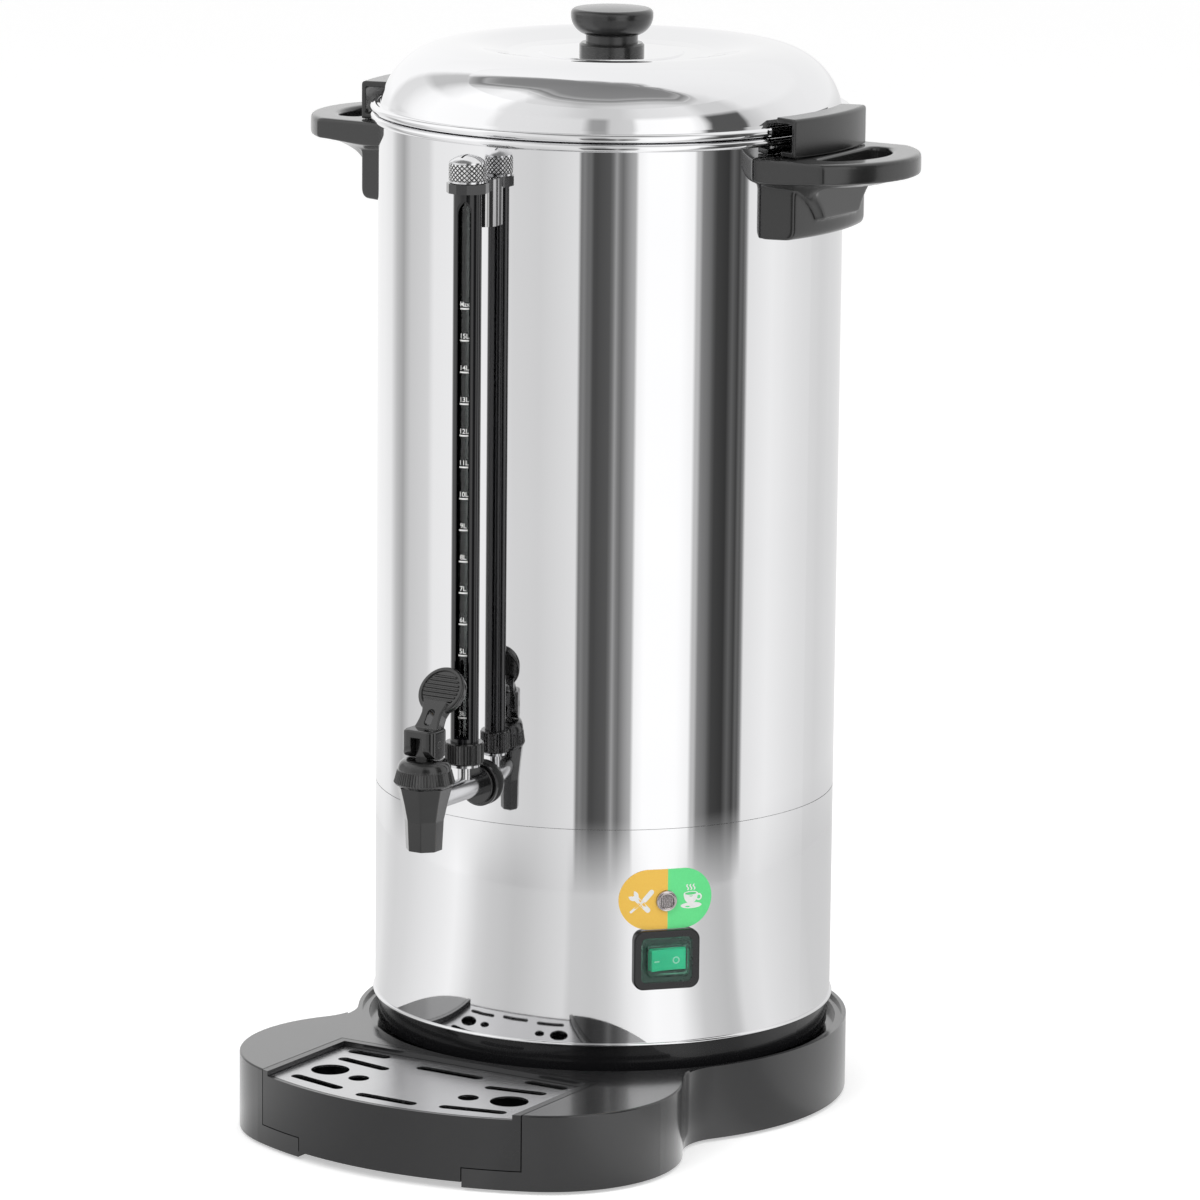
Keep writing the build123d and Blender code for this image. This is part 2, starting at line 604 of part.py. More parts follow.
def bottom_ring():
    """Black ring under the lower band, with the flange that carries the cover and the feet."""
    outer = TANK_R - 1.5
    inner = outer - 2.5
    neck = TANK_R - THIN - SEAT
    flange = RING_BOTTOM_Z + RING_FLANGE
    body = turned((RING_INNER_R, RING_BOTTOM_Z), (outer - 1, RING_BOTTOM_Z), (outer, RING_BOTTOM_Z + 1),
                  (outer, RING_SHOULDER_Z), (neck, RING_SHOULDER_Z), (neck, RING_TOP_Z),
                  (inner, RING_TOP_Z), (inner, flange), (RING_INNER_R, flange))
    for i in range(4):
        body -= Rot(0, 0, 45 + 90 * i) * rod(1.5, flange - 3, flange + 1, (COVER_R + RING_INNER_R) / 2)
    return body


def bottom_cover():
    """Vented steel cover on the ring's flange."""
    z0 = RING_BOTTOM_Z + RING_FLANGE
    cover = rod(COVER_R, z0, z0 + COVER_T)
    for i in range(4):
        cover -= Rot(0, 0, 45 + 90 * i) * rod(1.6, z0 - 1, z0 + 2, (COVER_R + RING_INNER_R) / 2)
    slot = SlotOverall(26, 4)
    vents = Sketch()
    for i in range(12):
        vents += Rot(0, 0, 30 * i) * Pos(62, 0) * slot
    return cover - slab(vents, z0 - 1, z0 + 2)


def cover_screws():
    z = RING_BOTTOM_Z + RING_FLANGE + COVER_T
    screws = []
    for i in range(4):
        screw = rod(3.0, z, z + 1.8) + rod(1.5, z - 3.5, z + 1)
        screws.append(Rot(0, 0, 45 + 90 * i) * Pos((COVER_R + RING_INNER_R) / 2, 0, 0) * screw)
    return group(screws)


def urn_feet():
    """Pads that stand in the base's recess."""
    place = RING_INNER_R + URN_FOOT_R + 1
    return group([Rot(0, 0, 120 * i + 30) * rod(URN_FOOT_R, RECESS_Z, RING_BOTTOM_Z, place) for i in range(3)])


# ---- Heating and wiring gear under the tank floor --------------------------------------------

def element(radius, tube_r, plate):
    """Ring-shaped heating element on its flat plate, pressed to the tank floor."""
    z = UNDER_FLOOR_Z - plate
    tube = Pos(radius, 0, z - tube_r * 0.6) * Rot(90, 0, 0) * Circle(tube_r)
    return ring(radius + 2 * tube_r + 4, radius - 2 * tube_r - 4, z, UNDER_FLOOR_Z) + revolve(tube, Axis.Z)


def heater_clamp():
    """Bent strap that presses both elements to the floor."""
    z = WELL_Z - THIN
    brew_low = UNDER_FLOOR_Z - BREW_PLATE - 1.6 * BREW_TUBE_R
    warm_low = UNDER_FLOOR_Z - WARM_PLATE - 1.6 * WARM_TUBE_R
    t = 1.6
    half = WARM_R + 8
    low = min(z, brew_low)
    knee = BREW_R + 18
    upper = [(-half, warm_low), (-knee - 6, warm_low), (-knee, low), (knee, low), (knee + 6, warm_low),
             (half, warm_low)]
    lower = [(half, warm_low - t), (knee + 6, warm_low - t), (knee, low - t), (-knee, low - t),
             (-knee - 6, warm_low - t), (-half, warm_low - t)]
    outline = make_face(Polyline(*[(x, -10, h) for x, h in upper + lower], close=True))
    strap = extrude(outline, 20, dir=(0, 1, 0))
    return strap - rod(STUD_R + SEAT, low - 5, low + 5)


def clamp_stud():
    z = WELL_Z - THIN
    strap_low = min(z, UNDER_FLOOR_Z - BREW_PLATE - 1.6 * BREW_TUBE_R) - 1.6
    stud = rod(STUD_R, strap_low - 14, z)
    washer = ring(7, STUD_R + SEAT, strap_low - 1.2, strap_low)
    nut = hexagon(10, strap_low - 6.2, strap_low - 1.2) - rod(STUD_R + SEAT, strap_low - 7, strap_low)
    return group([stud, washer, nut])


def sensor(angle, body_h, tab_gap):
    """Round bimetal switch with two tabs, pressed to the tank floor."""
    place = (BREW_R + WARM_R) / 2 + 2
    top = UNDER_FLOOR_Z
    body = rod(8.0, top - body_h, top, place) + rod(5.5, top - body_h - 4, top - body_h, place)
    for side in (-1, 1):
        y = side * tab_gap
        body += block(place - 3, place + 3, y - 0.4, y + 0.4, top - body_h - 12, top - body_h - 3)
    return Rot(0, 0, angle) * body


def terminal_block():
    z0 = RING_BOTTOM_Z + RING_FLANGE + COVER_T
    body = block(-24, 24, 34, 52, z0, z0 + 16)
    for i in range(5):
        x = -18 + 9 * i
        body -= rod(2.6, z0 + 9, z0 + 17, x, 43)
        body -= block(x - 2.4, x + 2.4, 33, 37, z0 + 3, z0 + 8)
        body -= block(x - 2.4, x + 2.4, 49, 53, z0 + 3, z0 + 8)
    return body


def power_inlet():
    face_y = -TANK_R - 1.2
    body = panel(INLET_FLANGE_W, INLET_FLANGE_H, 4, face_y, -TANK_R + 8, INLET_Z)
    body -= rod(TANK_R + 0.05, INLET_Z - 30, INLET_Z + 30)
    body += panel(INLET_W, INLET_H, 2, face_y + 1, face_y + INLET_DEPTH, INLET_Z)
    socket = Plane.XZ * chamfer(Rectangle(SOCKET_W, SOCKET_H).vertices().group_by(Axis.Y)[-1], 4)
    body -= Pos(0, face_y + SOCKET_DEPTH, INLET_Z) * extrude(socket, SOCKET_DEPTH + 1)
    for x in (-INLET_SCREW_X, INLET_SCREW_X):
        body -= rod_y(1.6, face_y - 1, -TANK_R + 8, INLET_Z, x)
    return around(body, 180)


def inlet_pins():
    face_y = -TANK_R - 1.2
    pins = []
    for x, z in ((-7, -2), (7, -2), (0, 2)):
        pins.append(block(x - 1, x + 1, face_y + 6, face_y + SOCKET_DEPTH, INLET_Z + z - 2, INLET_Z + z + 2))
    return around(group(pins), 180)


def inlet_screws():
    face_y = -TANK_R - 1.2
    screws = []
    for x in (-INLET_SCREW_X, INLET_SCREW_X):
        screws.append(rod_y(2.8, face_y - 1.4, face_y, INLET_Z, x) + rod_y(1.5, face_y - 1, face_y + 12, INLET_Z, x))
    return around(group(screws), 180)


# ---- Handles --------------------------------------------------------------------------------

def sector(inner, outer, half_deg, z0, z1):
    """Part of a ring about Z, centred on +X."""
    profile = Polyline((inner, 0, z0), (outer, 0, z0), (outer, 0, z1), (inner, 0, z1), close=True)
    return Rot(0, 0, -half_deg) * revolve(make_face(profile), Axis.Z, 2 * half_deg)


def handle():
    """Right-hand handle: a pad on the tank wall that flares into a flat loop."""
    under = LOOP_TOP_Z - LOOP_H
    # The loop and its flare are turned about an upright axis on the tank wall
    flare_r = PAD_PROUD + FLARE_OUT
    outline = Line((0, 0, LOOP_TOP_Z), (LOOP_R, 0, LOOP_TOP_Z)) + Line((LOOP_R, 0, LOOP_TOP_Z), (LOOP_R, 0, under))
    outline += ThreePointArc((LOOP_R, 0, under), (flare_r + 10, 0, under - FLARE_H * 0.36),
                             (flare_r, 0, under - FLARE_H))
    outline += Line((flare_r, 0, under - FLARE_H), (0, 0, under - FLARE_H)) + Line((0, 0, under - FLARE_H),
                                                                                 (0, 0, LOOP_TOP_Z))
    body = Pos(TANK_R, 0, 0) * revolve(make_face(outline), Axis.Z)
    body &= block(TANK_R - 12, TANK_R + LOOP_R + 5, -LOOP_HALF, LOOP_HALF, under - FLARE_H - 1, LOOP_TOP_Z + 1)
    # Pad, wider at the tank wall than at its face
    root = [(TANK_R * cos(radians(a)), TANK_R * sin(radians(a))) for a in (-PAD_ROOT_DEG, PAD_ROOT_DEG)]
    face = [(PAD_R * cos(radians(a)), PAD_R * sin(radians(a))) for a in (PAD_DEG, 0, -PAD_DEG)]
    plan = make_face([Line(root[0], root[1]), Line(root[1], face[0]), ThreePointArc(*face), Line(face[2], root[0])])
    pad = slab(plan, PAD_BOTTOM_Z, LOOP_TOP_Z)
    low = pad.edges().filter_by(lambda e: abs(e.center().Z - PAD_BOTTOM_Z) < 0.01 and e.center().X > TANK_R + 5)
    pad = fillet(low, 5.0)
    body = body + pad
    body -= rod(TANK_R + 0.05, PAD_BOTTOM_Z - 1, LOOP_TOP_Z + 1)
    # Finger hole
    hole_r = LOOP_R - LOOP_BAND
    hole = Pos(TANK_R, 0) * Circle(hole_r) & Pos(PAD_R + 3 + hole_r / 2, 0) * Rectangle(hole_r, 2 * LOOP_HOLE_HALF)
    corners = [v for v in hole.vertices() if v.X < PAD_R + 10]
    hole = fillet(corners, 5.0)
    body -= slab(hole, PAD_BOTTOM_Z - 1, LOOP_TOP_Z + 1)
    rim = body.edges().filter_by(lambda e: abs(e.center().Z - LOOP_TOP_Z) < 0.01 and e.center().X > TANK_R + 8)
    body = fillet([e for e in rim if e.geom_type == GeomType.CIRCLE and e.length > 30], 2.0)
    # Room for the tank's rolled rim, and the screw holes
    for y in (-HANDLE_SCREW_Y, HANDLE_SCREW_Y):
        body -= rod_x(SCREW_R, TANK_R - 8, TANK_R + 9, y, HANDLE_SCREW_Z)
    for y in (-CATCH_SCREW_Y, CATCH_SCREW_Y):
        body -= rod(1.5, LOOP_TOP_Z - 8, LOOP_TOP_Z + 1, CATCH_SCREW_X, y)
    return body


def lid_catch():
    """Hooked block on the right-hand pad; its roof reaches over the lid's rim."""
    z0 = LOOP_TOP_Z + CATCH_GAP
    inner = TANK_R + 5.5
    body = sector(PAD_R - CATCH_SHEET, PAD_R, PAD_DEG, z0, CATCH_TOP_Z)
    body += sector(CATCH_LIP_R, PAD_R, PAD_DEG, CATCH_TOP_Z - CATCH_ROOF, CATCH_TOP_Z)
    body += sector(inner, PAD_R, PAD_DEG, z0, z0 + CATCH_FOOT)
    crown = body.edges().filter_by(lambda e: abs(e.center().Z - CATCH_TOP_Z) < 0.01 and e.center().X > PAD_R - 3)
    body = fillet([e for e in crown if e.geom_type == GeomType.CIRCLE], 2.0)
    for y in (-CATCH_SCREW_Y, CATCH_SCREW_Y):
        body -= rod(1.6, z0 - 1, z0 + CATCH_FOOT + 1, CATCH_SCREW_X, y)
    return body


def handle_screws():
    """Screws from inside the tank into each pad, and two small ones that hold each catch."""
    screws = []
    top = LOOP_TOP_Z + CATCH_GAP + CATCH_FOOT
    for side in (-1, 1):
        for end in (-1, 1):
            y = end * HANDLE_SCREW_Y
            wall_x = sqrt(TANK_BORE_R**2 - (HANDLE_SCREW_Y + 4.5)**2) - 0.1
            head = rod_x(4.5, side * (wall_x - 2.6), side * wall_x, y, HANDLE_SCREW_Z)
            screws.append(head + rod_x(SCREW_R, side * (wall_x - 1), side * (TANK_R + 8.8), y, HANDLE_SCREW_Z))
            x = side * CATCH_SCREW_X
            y = end * CATCH_SCREW_Y
            screws.append(rod(2.8, top, top + 1.8, x, y) + rod(1.5, top - 9, top + 1, x, y))
    return group(screws)


# ---- Lid ------------------------------------------------------------------------------------

def lid_shell():
    """Domed lid with a rolled rim, an inner skirt and a dished top."""
    shoulder_r = TANK_BORE_R - 0.4
    line = [Line((TANK_R + 2.1, LID_RIM_Z - THIN / 2), (shoulder_r + 0.6, LID_RIM_Z - THIN / 2)),
            Line((shoulder_r + 0.6, LID_RIM_Z - THIN / 2), (shoulder_r, LID_RIM_Z + 1.2)),
            ThreePointArc((shoulder_r, LID_RIM_Z + 1.2), (TANK_R - LID_ROUND, CREST_Z - LID_ROUND),
                          (CREST_R + CREST_EASE, CREST_Z - 0.7)),
            ThreePointArc((CREST_R + CREST_EASE, CREST_Z - 0.7), (CREST_R, CREST_Z), (CREST_R - 10, CREST_Z - 1.6)),
            Line((CREST_R - 10, CREST_Z - 1.6), (DISH_R + 4, DISH_Z + 0.8)),
            Line((DISH_R + 4, DISH_Z + 0.8), (DISH_R - 4, DISH_Z)),
            Line((DISH_R - 4, DISH_Z), (BUTTON_R + 1, DISH_Z)),
            Line((BUTTON_R + 1, DISH_Z), (BUTTON_R, BUTTON_Z)),
            Line((BUTTON_R, BUTTON_Z), (KNOB_SCREW_R + RUN, BUTTON_Z))]
    sheet = offset(Wire(line), THIN, side=Side.LEFT, closed=True)
    face = Plane.XZ * make_face(sheet)
    lid = revolve(face, Axis.Z)
    lid += revolve(Pos(TANK_R + 2.1, 0, LID_BEAD_Z) * Rot(90, 0, 0) * Circle(LID_BEAD_R), Axis.Z)
    skirt_top = LID_RIM_Z - THIN
    lid += ring(shoulder_r, shoulder_r - THIN, skirt_top - LID_SKIRT - 3.4, skirt_top + 0.2)
    # Notches that let the rim pass the catches
    for turn in (0, 180):
        lid -= Rot(0, 0, turn) * sector(CATCH_LIP_R - 0.6, TANK_R + 8, NOTCH_DEG, LID_BEAD_Z - 4, LID_BEAD_Z + 4)
    return lid


def knob_spacer():
    z1 = BUTTON_Z + SPACER_H
    return turned((KNOB_SCREW_R + RUN, BUTTON_Z), (SPACER_R, BUTTON_Z), (SPACER_R, z1 - 1.2), (SPACER_R - 1.2, z1),
                  (KNOB_SCREW_R + RUN, z1))


def knob():
    """Mushroom knob on a short neck."""
    z0 = BUTTON_Z + SPACER_H
    z1 = z0 + NECK_H
    top = z1 + KNOB_H
    side = [Line((0, 0, z0), (NECK_R, 0, z0)), Line((NECK_R, 0, z0), (NECK_R, 0, z1)),
            ThreePointArc((NECK_R, 0, z1), (KNOB_R - KNOB_WAIST, 0, z1 + 4.6), (KNOB_R, 0, top - 4.6)),
            ThreePointArc((KNOB_R, 0, top - 4.6), (KNOB_R - 0.7, 0, top - 2.2), (KNOB_BROW_R, 0, top - 1.2)),
            TangentArc((0, 0, top), (KNOB_BROW_R, 0, top - 1.2), tangent=(1, 0, 0)), Line((0, 0, top), (0, 0, z0))]
    return revolve(make_face(side), Axis.Z) - rod(KNOB_SCREW_R, z0 - 1, z0 + 12)


def knob_screw():
    """Screw from under the lid into the knob."""
    low = BUTTON_Z - THIN
    return rod(6.5, low - 3.0, low - 0.1) + rod(KNOB_SCREW_R, low - 1, BUTTON_Z + SPACER_H + 12)


# ---- Tap ------------------------------------------------------------------------------------

def tap_shank():
    """Metal tube through the tank wall, with the neck that carries the gauge."""
    body = rod_y(SHANK_R, -SPOUT_Y + CHAMBER_R, -TANK_R + 18, TAP_Z)
    body += rod(GAUGE_NECK_R, TAP_Z, NECK_TOP_Z, 0, -GAUGE_Y)
    body += rod(GUARD_R + 1, NECK_TOP_Z - GAUGE_FLANGE, NECK_TOP_Z, 0, -GAUGE_Y)
    body += rod(GUARD_R, NECK_TOP_Z - GAUGE_FLANGE, SPIGOT_TOP_Z, 0, -GAUGE_Y)
    body -= rod_y(SHANK_BORE_R, -SPOUT_Y, -TANK_R + 20, TAP_Z)
    body -= rod(GAUGE_BORE_R, TAP_Z, SPIGOT_TOP_Z, 0, -GAUGE_Y)
    return body - rod(GUARD_BORE_R, SPIGOT_TOP_Z - 7, SPIGOT_TOP_Z + 1, 0, -GAUGE_Y)


def tap_gaskets():
    """Seals on both faces of the tank wall, hollowed to the wall's curve."""
    outside = rod_y(COLLAR_R, -TANK_R - GASKET, -TANK_R + 2, TAP_Z) - rod(TANK_R + 0.02, TAP_Z - 20, TAP_Z + 20)
    inside = rod_y(COLLAR_R, -TANK_BORE_R + GASKET, -TANK_BORE_R - 2, TAP_Z)
    inside &= rod(TANK_BORE_R - 0.02, TAP_Z - 20, TAP_Z + 20)
    bore = rod_y(SHANK_R + 0.02, -TANK_R - 5, -TANK_R + 8, TAP_Z)
    return group([outside - bore, inside - bore])


def tap_collar():
    """Black collar with grooves that clamps the outer seal."""
    y1 = -TANK_R - GASKET
    middle = y1 - COLLAR_L / 2
    flange = rod_y(COLLAR_R, middle, y1, TAP_Z)
    front = rod_y(COLLAR_R - COLLAR_STEP, y1 - COLLAR_L, middle - 0.7, TAP_Z)
    body = flange + front + rod_y(COLLAR_R - COLLAR_STEP - 0.9, middle - 1, middle, TAP_Z)
    rims = [e for e in body.edges().filter_by(GeomType.CIRCLE) if e.radius > COLLAR_R - COLLAR_STEP - 0.1]
    body = fillet(rims, 0.5)
    return body - rod_y(SHANK_R + 0.02, y1 - COLLAR_L - 1, y1 + 1, TAP_Z)


def tap_nut():
    """Nut on the shank inside the tank."""
    y0 = -TANK_BORE_R + GASKET
    nut = Pos(0, y0 + 3, TAP_Z) * Rot(90, 0, 0) * hexagon(24, -3, 3)
    return nut - rod_y(SHANK_R + 0.02, y0 - 1, y0 + 8, TAP_Z)


def spout_body():
    """Eight-sided spout that tapers from the bonnet to the tip, with the valve seat inside."""
    low = (TAP_Z + SPOUT_TIP_Z) / 2
    profile = ((SPOUT_TOP_Z, SPOUT_TOP_R), (TAP_Z, SPOUT_MID_R), (low + 4, SPOUT_LOW_R), (SPOUT_TIP_Z, SPOUT_TIP_R))
    rings = [Pos(0, -SPOUT_Y, z) * Rot(0, 0, 22.5) * RegularPolygon(r, 8) for z, r in profile]
    body = loft(rings, ruled=True)
    body -= rod(CHAMBER_R, SEAT_Z, SPOUT_TOP_Z + 1, 0, -SPOUT_Y)
    body -= rod(SPOUT_BORE_R, SPOUT_TIP_Z - 1, SEAT_Z + 1, 0, -SPOUT_Y)
    return body - rod_y(SHANK_R, -SPOUT_Y + CHAMBER_R - 4, -SPOUT_Y + 20, TAP_Z)


def bonnet():
    """Ribbed collar and dome over the valve, with the post that carries the lever."""
    z0 = SPOUT_TOP_Z
    lip = turned((CHAMBER_R, z0), (SPOUT_TOP_R - 0.8, z0), (BONNET_R - 0.4, z0 + BONNET_LIP * 0.6),
                 (BONNET_R, z0 + BONNET_LIP), (CHAMBER_R, z0 + BONNET_LIP))
    grip_top = z0 + 9
    grip = ribbed(BONNET_R - 0.1, 0.5, BONNET_RIBS, z0 + BONNET_LIP - 0.1, grip_top, BONNET_FLARE)
    grip -= rod(CHAMBER_R, z0, grip_top + 1)
    dome_r = BONNET_R - BONNET_FLARE - 0.6
    inner = CHAMBER_R - 2
    ease = dome_r - 5
    stem_bore = STEM_R + RUN
    under = BONNET_TOP_Z - 3
    dome = revolve(make_face([
        Line((inner, 0, grip_top - 0.5), (dome_r, 0, grip_top - 0.5)),
        ThreePointArc((dome_r, 0, grip_top - 0.5), (dome_r - 1.3, 0, BONNET_TOP_Z - 2), (ease, 0, BONNET_TOP_Z)),
        Line((ease, 0, BONNET_TOP_Z), (stem_bore, 0, BONNET_TOP_Z)),
        Line((stem_bore, 0, BONNET_TOP_Z), (stem_bore, 0, under)), Line((stem_bore, 0, under), (inner, 0, under)),
        Line((inner, 0, under), (inner, 0, grip_top - 0.5))]), Axis.Z)
    spigot = ring(CHAMBER_R - 0.05, CHAMBER_R - 1.3, z0 - 3, z0 + 9)
    fill = ring(CHAMBER_R + 0.1, CHAMBER_R - 1.3, z0 + 0.1, z0 + 9)
    post = block(-POST / 2, POST / 2, -POST / 2, POST / 2, BONNET_TOP_Z - 1, PIN_Z + POST_UP)
    body = lip + grip + dome + spigot + fill + post
    body -= rod(STEM_R + RUN, BONNET_TOP_Z - 4, PIN_Z + 6)
    body = Pos(0, -SPOUT_Y, 0) * body
    return body - rod_x(PIN_R + 0.05, -POST, POST, -SPOUT_Y, PIN_Z)


def tap_stem():
    """Rod that lifts the seat cup; the lever's pin runs in its slot."""
    stem = rod(STEM_R, SEAT_Z + 3, PIN_Z + STEM_HEAD) + rod(5.0, SEAT_Z + 7.2, SEAT_Z + 8.4)
    stem -= block(-4, 4, -PIN_R - 0.05, PIN_R + 0.05, PIN_Z - STEM_TRAVEL - 0.3, PIN_Z + 0.4)
    stem -= rod_x(PIN_R + 0.05, -4, 4, 0, PIN_Z)
    stem -= rod_x(PIN_R + 0.05, -4, 4, 0, PIN_Z - STEM_TRAVEL - 0.3)
    return Pos(0, -SPOUT_Y, 0) * stem


def seat_cup():
    """Soft cup on the stem that closes the spout."""
    cup = turned((0, SEAT_Z), (7.4, SEAT_Z), (7.6, SEAT_Z + 1.4), (6.2, SEAT_Z + 7.2), (0, SEAT_Z + 7.2))
    return Pos(0, -SPOUT_Y, 0) * (cup - rod(STEM_R, SEAT_Z + 3, SEAT_Z + 9))


def stem_spring():
    """Coil between the stem's collar and the bonnet."""
    z0 = SEAT_Z + 9.0
    z1 = BONNET_TOP_Z - 3.6
    path = Pos(0, 0, z0) * Helix(pitch=(z1 - z0) / 5, height=z1 - z0, radius=4.2)
    section = Plane(origin=path @ 0, z_dir=path % 0) * Circle(0.45)
    return Pos(0, -SPOUT_Y, 0) * sweep(section, path=path)


def tap_lever():
    """Lever with a forked hub, a slotted arm and a ribbed round paddle."""
    arm_t = 7.6
    half = LEVER_W / 2
    sides = []
    for side in (-1, 1):
        waist = (side * LEVER_WAIST, 17)
        sides.append(ThreePointArc((side * (half - 0.4), 3), (side * (half - 2.9), 10), waist))
        sides.append(Line(waist, (side * 8.6, 25)))
    outline = sides + [Line((0.4 - half, 3), (half - 0.4, 3)), Line((-8.6, 25), (8.6, 25))]
    arm = Pos(0, arm_t / 2, 0) * extrude(Plane.XZ * make_face(outline), arm_t)
    long_edges = [e for e in arm.edges() if abs(e.center().Y) > arm_t / 2 - 0.01 and 3.1 < e.center().Z < 24.9]
    arm = fillet(long_edges, 1.0)
    paddle = rod_y(PADDLE_R, -PADDLE_T / 2, PADDLE_T / 2, LEVER_REACH)
    rim = paddle.edges().filter_by(GeomType.CIRCLE)
    blade = arm + fillet(rim, 1.4)
    # Sunk finger rest with grip ribs
    face_y = -PADDLE_T / 2
    blade -= rod_y(PADDLE_R - 2.6, face_y - 1, face_y + 1.0, LEVER_REACH)
    for i in range(GRIP_RIBS):
        up = GRIP_PITCH * (i - (GRIP_RIBS - 1) / 2)
        reach = sqrt((PADDLE_R - 3.4)**2 - up**2)
        z = LEVER_REACH + up
        blade += block(-reach, reach, face_y + 0.2, face_y + 1.5, z - 0.5, z + 0.5)
    blade -= Pos(0, 10, 14) * extrude(Plane.XZ * (Rot(0, 0, 90) * SlotOverall(10, 4.6)), 20)
    # Upright hub with rounded corners, round below about the pin
    hub = rod_x(LEVER_HUB_R, -half, half, 0, 0)
    hub += block(-half, half, -LEVER_HUB_R, LEVER_HUB_R, 0, LEVER_SHOULDER)
    hub &= slab(RectangleRounded(LEVER_W, 2 * LEVER_HUB_R, LEVER_ROUND), -LEVER_HUB_R - 1, LEVER_SHOULDER)
    hub = fillet(hub.edges().filter_by(lambda e: e.center().Z > LEVER_SHOULDER - 0.01), 1.5)
    lever = hub + Rot(-LEVER_LEAN, 0, 0) * blade
    # Gap between the fork's ears, for the post and the raised stem
    gap = POST / 2 + FORK_GAP
    tallest = max(hypot(POST / 2, POST_UP), hypot(STEM_R, STEM_HEAD + STEM_TRAVEL))
    lever -= rod_x(tallest + FORK_GAP, -gap, gap, 0, 0)
    lever -= block(-gap, gap, -20, 20, -20, 0)
    lever -= block(-gap, gap, -20, 0, -1, 4)
    lever -= rod_x(PIN_R, -LEVER_W, LEVER_W, 0, 0)
    return Pos(0, -SPOUT_Y, PIN_Z) * lever


def lever_pin():
    return rod_x(PIN_R, -LEVER_W / 2, LEVER_W / 2, -SPOUT_Y, PIN_Z)


# ---- Gauge ----------------------------------------------------------------------------------

def gauge_glass():
    tube = rod(GLASS_R, SPIGOT_TOP_Z - 7, RING_Z1 + 5) - rod(GLASS_BORE_R, SPIGOT_TOP_Z - 8, RING_Z1 + 6)
    return Pos(0, -GAUGE_Y, 0) * tube


def arched(half, z0, tip):
    """Upright opening that ends in a pointed arch."""
    spring = tip - WINDOW_ARCH
    swell = half * 0.62
    bend = spring + WINDOW_ARCH * 0.58
    return make_face([Line((-half, z0), (half, z0)), Line((half, z0), (half, spring)),
                      ThreePointArc((half, spring), (swell, bend), (0, tip)),
                      ThreePointArc((0, tip), (-swell, bend), (-half, spring)), Line((-half, spring), (-half, z0))])


def gauge_guard():
    """Slotted tube around the glass; its window lies in a shallow flat and ends in a pointed arch."""
    guard = rod(GUARD_R, SPIGOT_TOP_Z, RING_Z1 - 2) - rod(GUARD_BORE_R, SPIGOT_TOP_Z - 1, RING_Z1)
    half = WINDOW_W / 2
    cut = extrude(Plane.XZ * arched(half, WINDOW_Z0, WINDOW_TIP_Z), GUARD_R + 2)
    flat = extrude(Plane.XZ * arched(half + 1, WINDOW_Z0 - 1, WINDOW_TIP_Z + 1.4), 5)
    guard -= Rot(0, 0, WINDOW_DEG) * (cut + Pos(0, WINDOW_FLAT - GUARD_R, 0) * flat)
    return Pos(0, -GAUGE_Y, 0) * guard


def gauge_bracket():
    """Many-sided ring around the guard's top, a boss to the tank wall and a threaded neck for the cap."""
    body = Pos(0, -GAUGE_Y) * slab(RegularPolygon(RING_R, RING_SIDES), RING_Z0, RING_Z1)
    boss = slab(RegularPolygon(GAUGE_BOSS_R, GAUGE_BOSS_SIDES), GAUGE_BOSS_Z0, RING_Z1 + 0.8)
    body += Pos(0, -TANK_R - GAUGE_BOSS_OUT) * boss
    body += block(-RING_R * 0.7, RING_R * 0.7, -GAUGE_Y + 6, -TANK_R, RING_Z0, RING_Z1 + 0.8)
    body -= rod(TANK_R + 0.05, GAUGE_BOSS_Z0 - 1, RING_Z1 + 2)
    body -= rod(RING_R - 0.7, RING_Z1, RING_Z1 + 2, 0, -GAUGE_Y)
    body += rod(GUARD_R, RING_Z0, RING_Z1 + 6, 0, -GAUGE_Y)
    body -= rod(GUARD_R + 0.05, GAUGE_BOSS_Z0 - 1, RING_Z1 - 2, 0, -GAUGE_Y)
    body -= rod(GLASS_R + 0.1, RING_Z0, RING_Z1 + 7, 0, -GAUGE_Y)
    body -= rod(GLASS_R + 1, RING_Z1 + 2, RING_Z1 + 7, 0, -GAUGE_Y)
    return body - rod_y(SCREW_R - 0.4, -TANK_R - 7.5, -TANK_R + 5, GAUGE_SCREW_Z)


def gauge_seals():
    low = rod(GUARD_BORE_R, SPIGOT_TOP_Z - 7, SPIGOT_TOP_Z - 3, 0, -GAUGE_Y)
    high = rod(GLASS_R + 1, RING_Z1 + 2, RING_Z1 + 5, 0, -GAUGE_Y)
    bore = rod(GLASS_R, SPIGOT_TOP_Z - 8, RING_Z1 + 6, 0, -GAUGE_Y)
    return group([low - bore, high - bore])


def gauge_screw():
    wall = -TANK_BORE_R + 0.15
    return rod_y(4.5, wall, wall + 2.6, GAUGE_SCREW_Z) + rod_y(SCREW_R - 0.4, -TANK_R - 7, wall + 1, GAUGE_SCREW_Z)


def gauge_nut():
    z0 = NECK_TOP_Z + 0.2
    nut = ribbed(GAUGE_NUT_R, 0.6, GAUGE_NUT_RIBS, z0 + 0.8, GAUGE_NUT_TOP_Z - 0.8)
    nut += rod(GAUGE_NUT_R - 0.7, z0, GAUGE_NUT_TOP_Z)
    return Pos(0, -GAUGE_Y, 0) * (nut - rod(GUARD_R + RUN, z0 - 1, GAUGE_NUT_TOP_Z + 1))


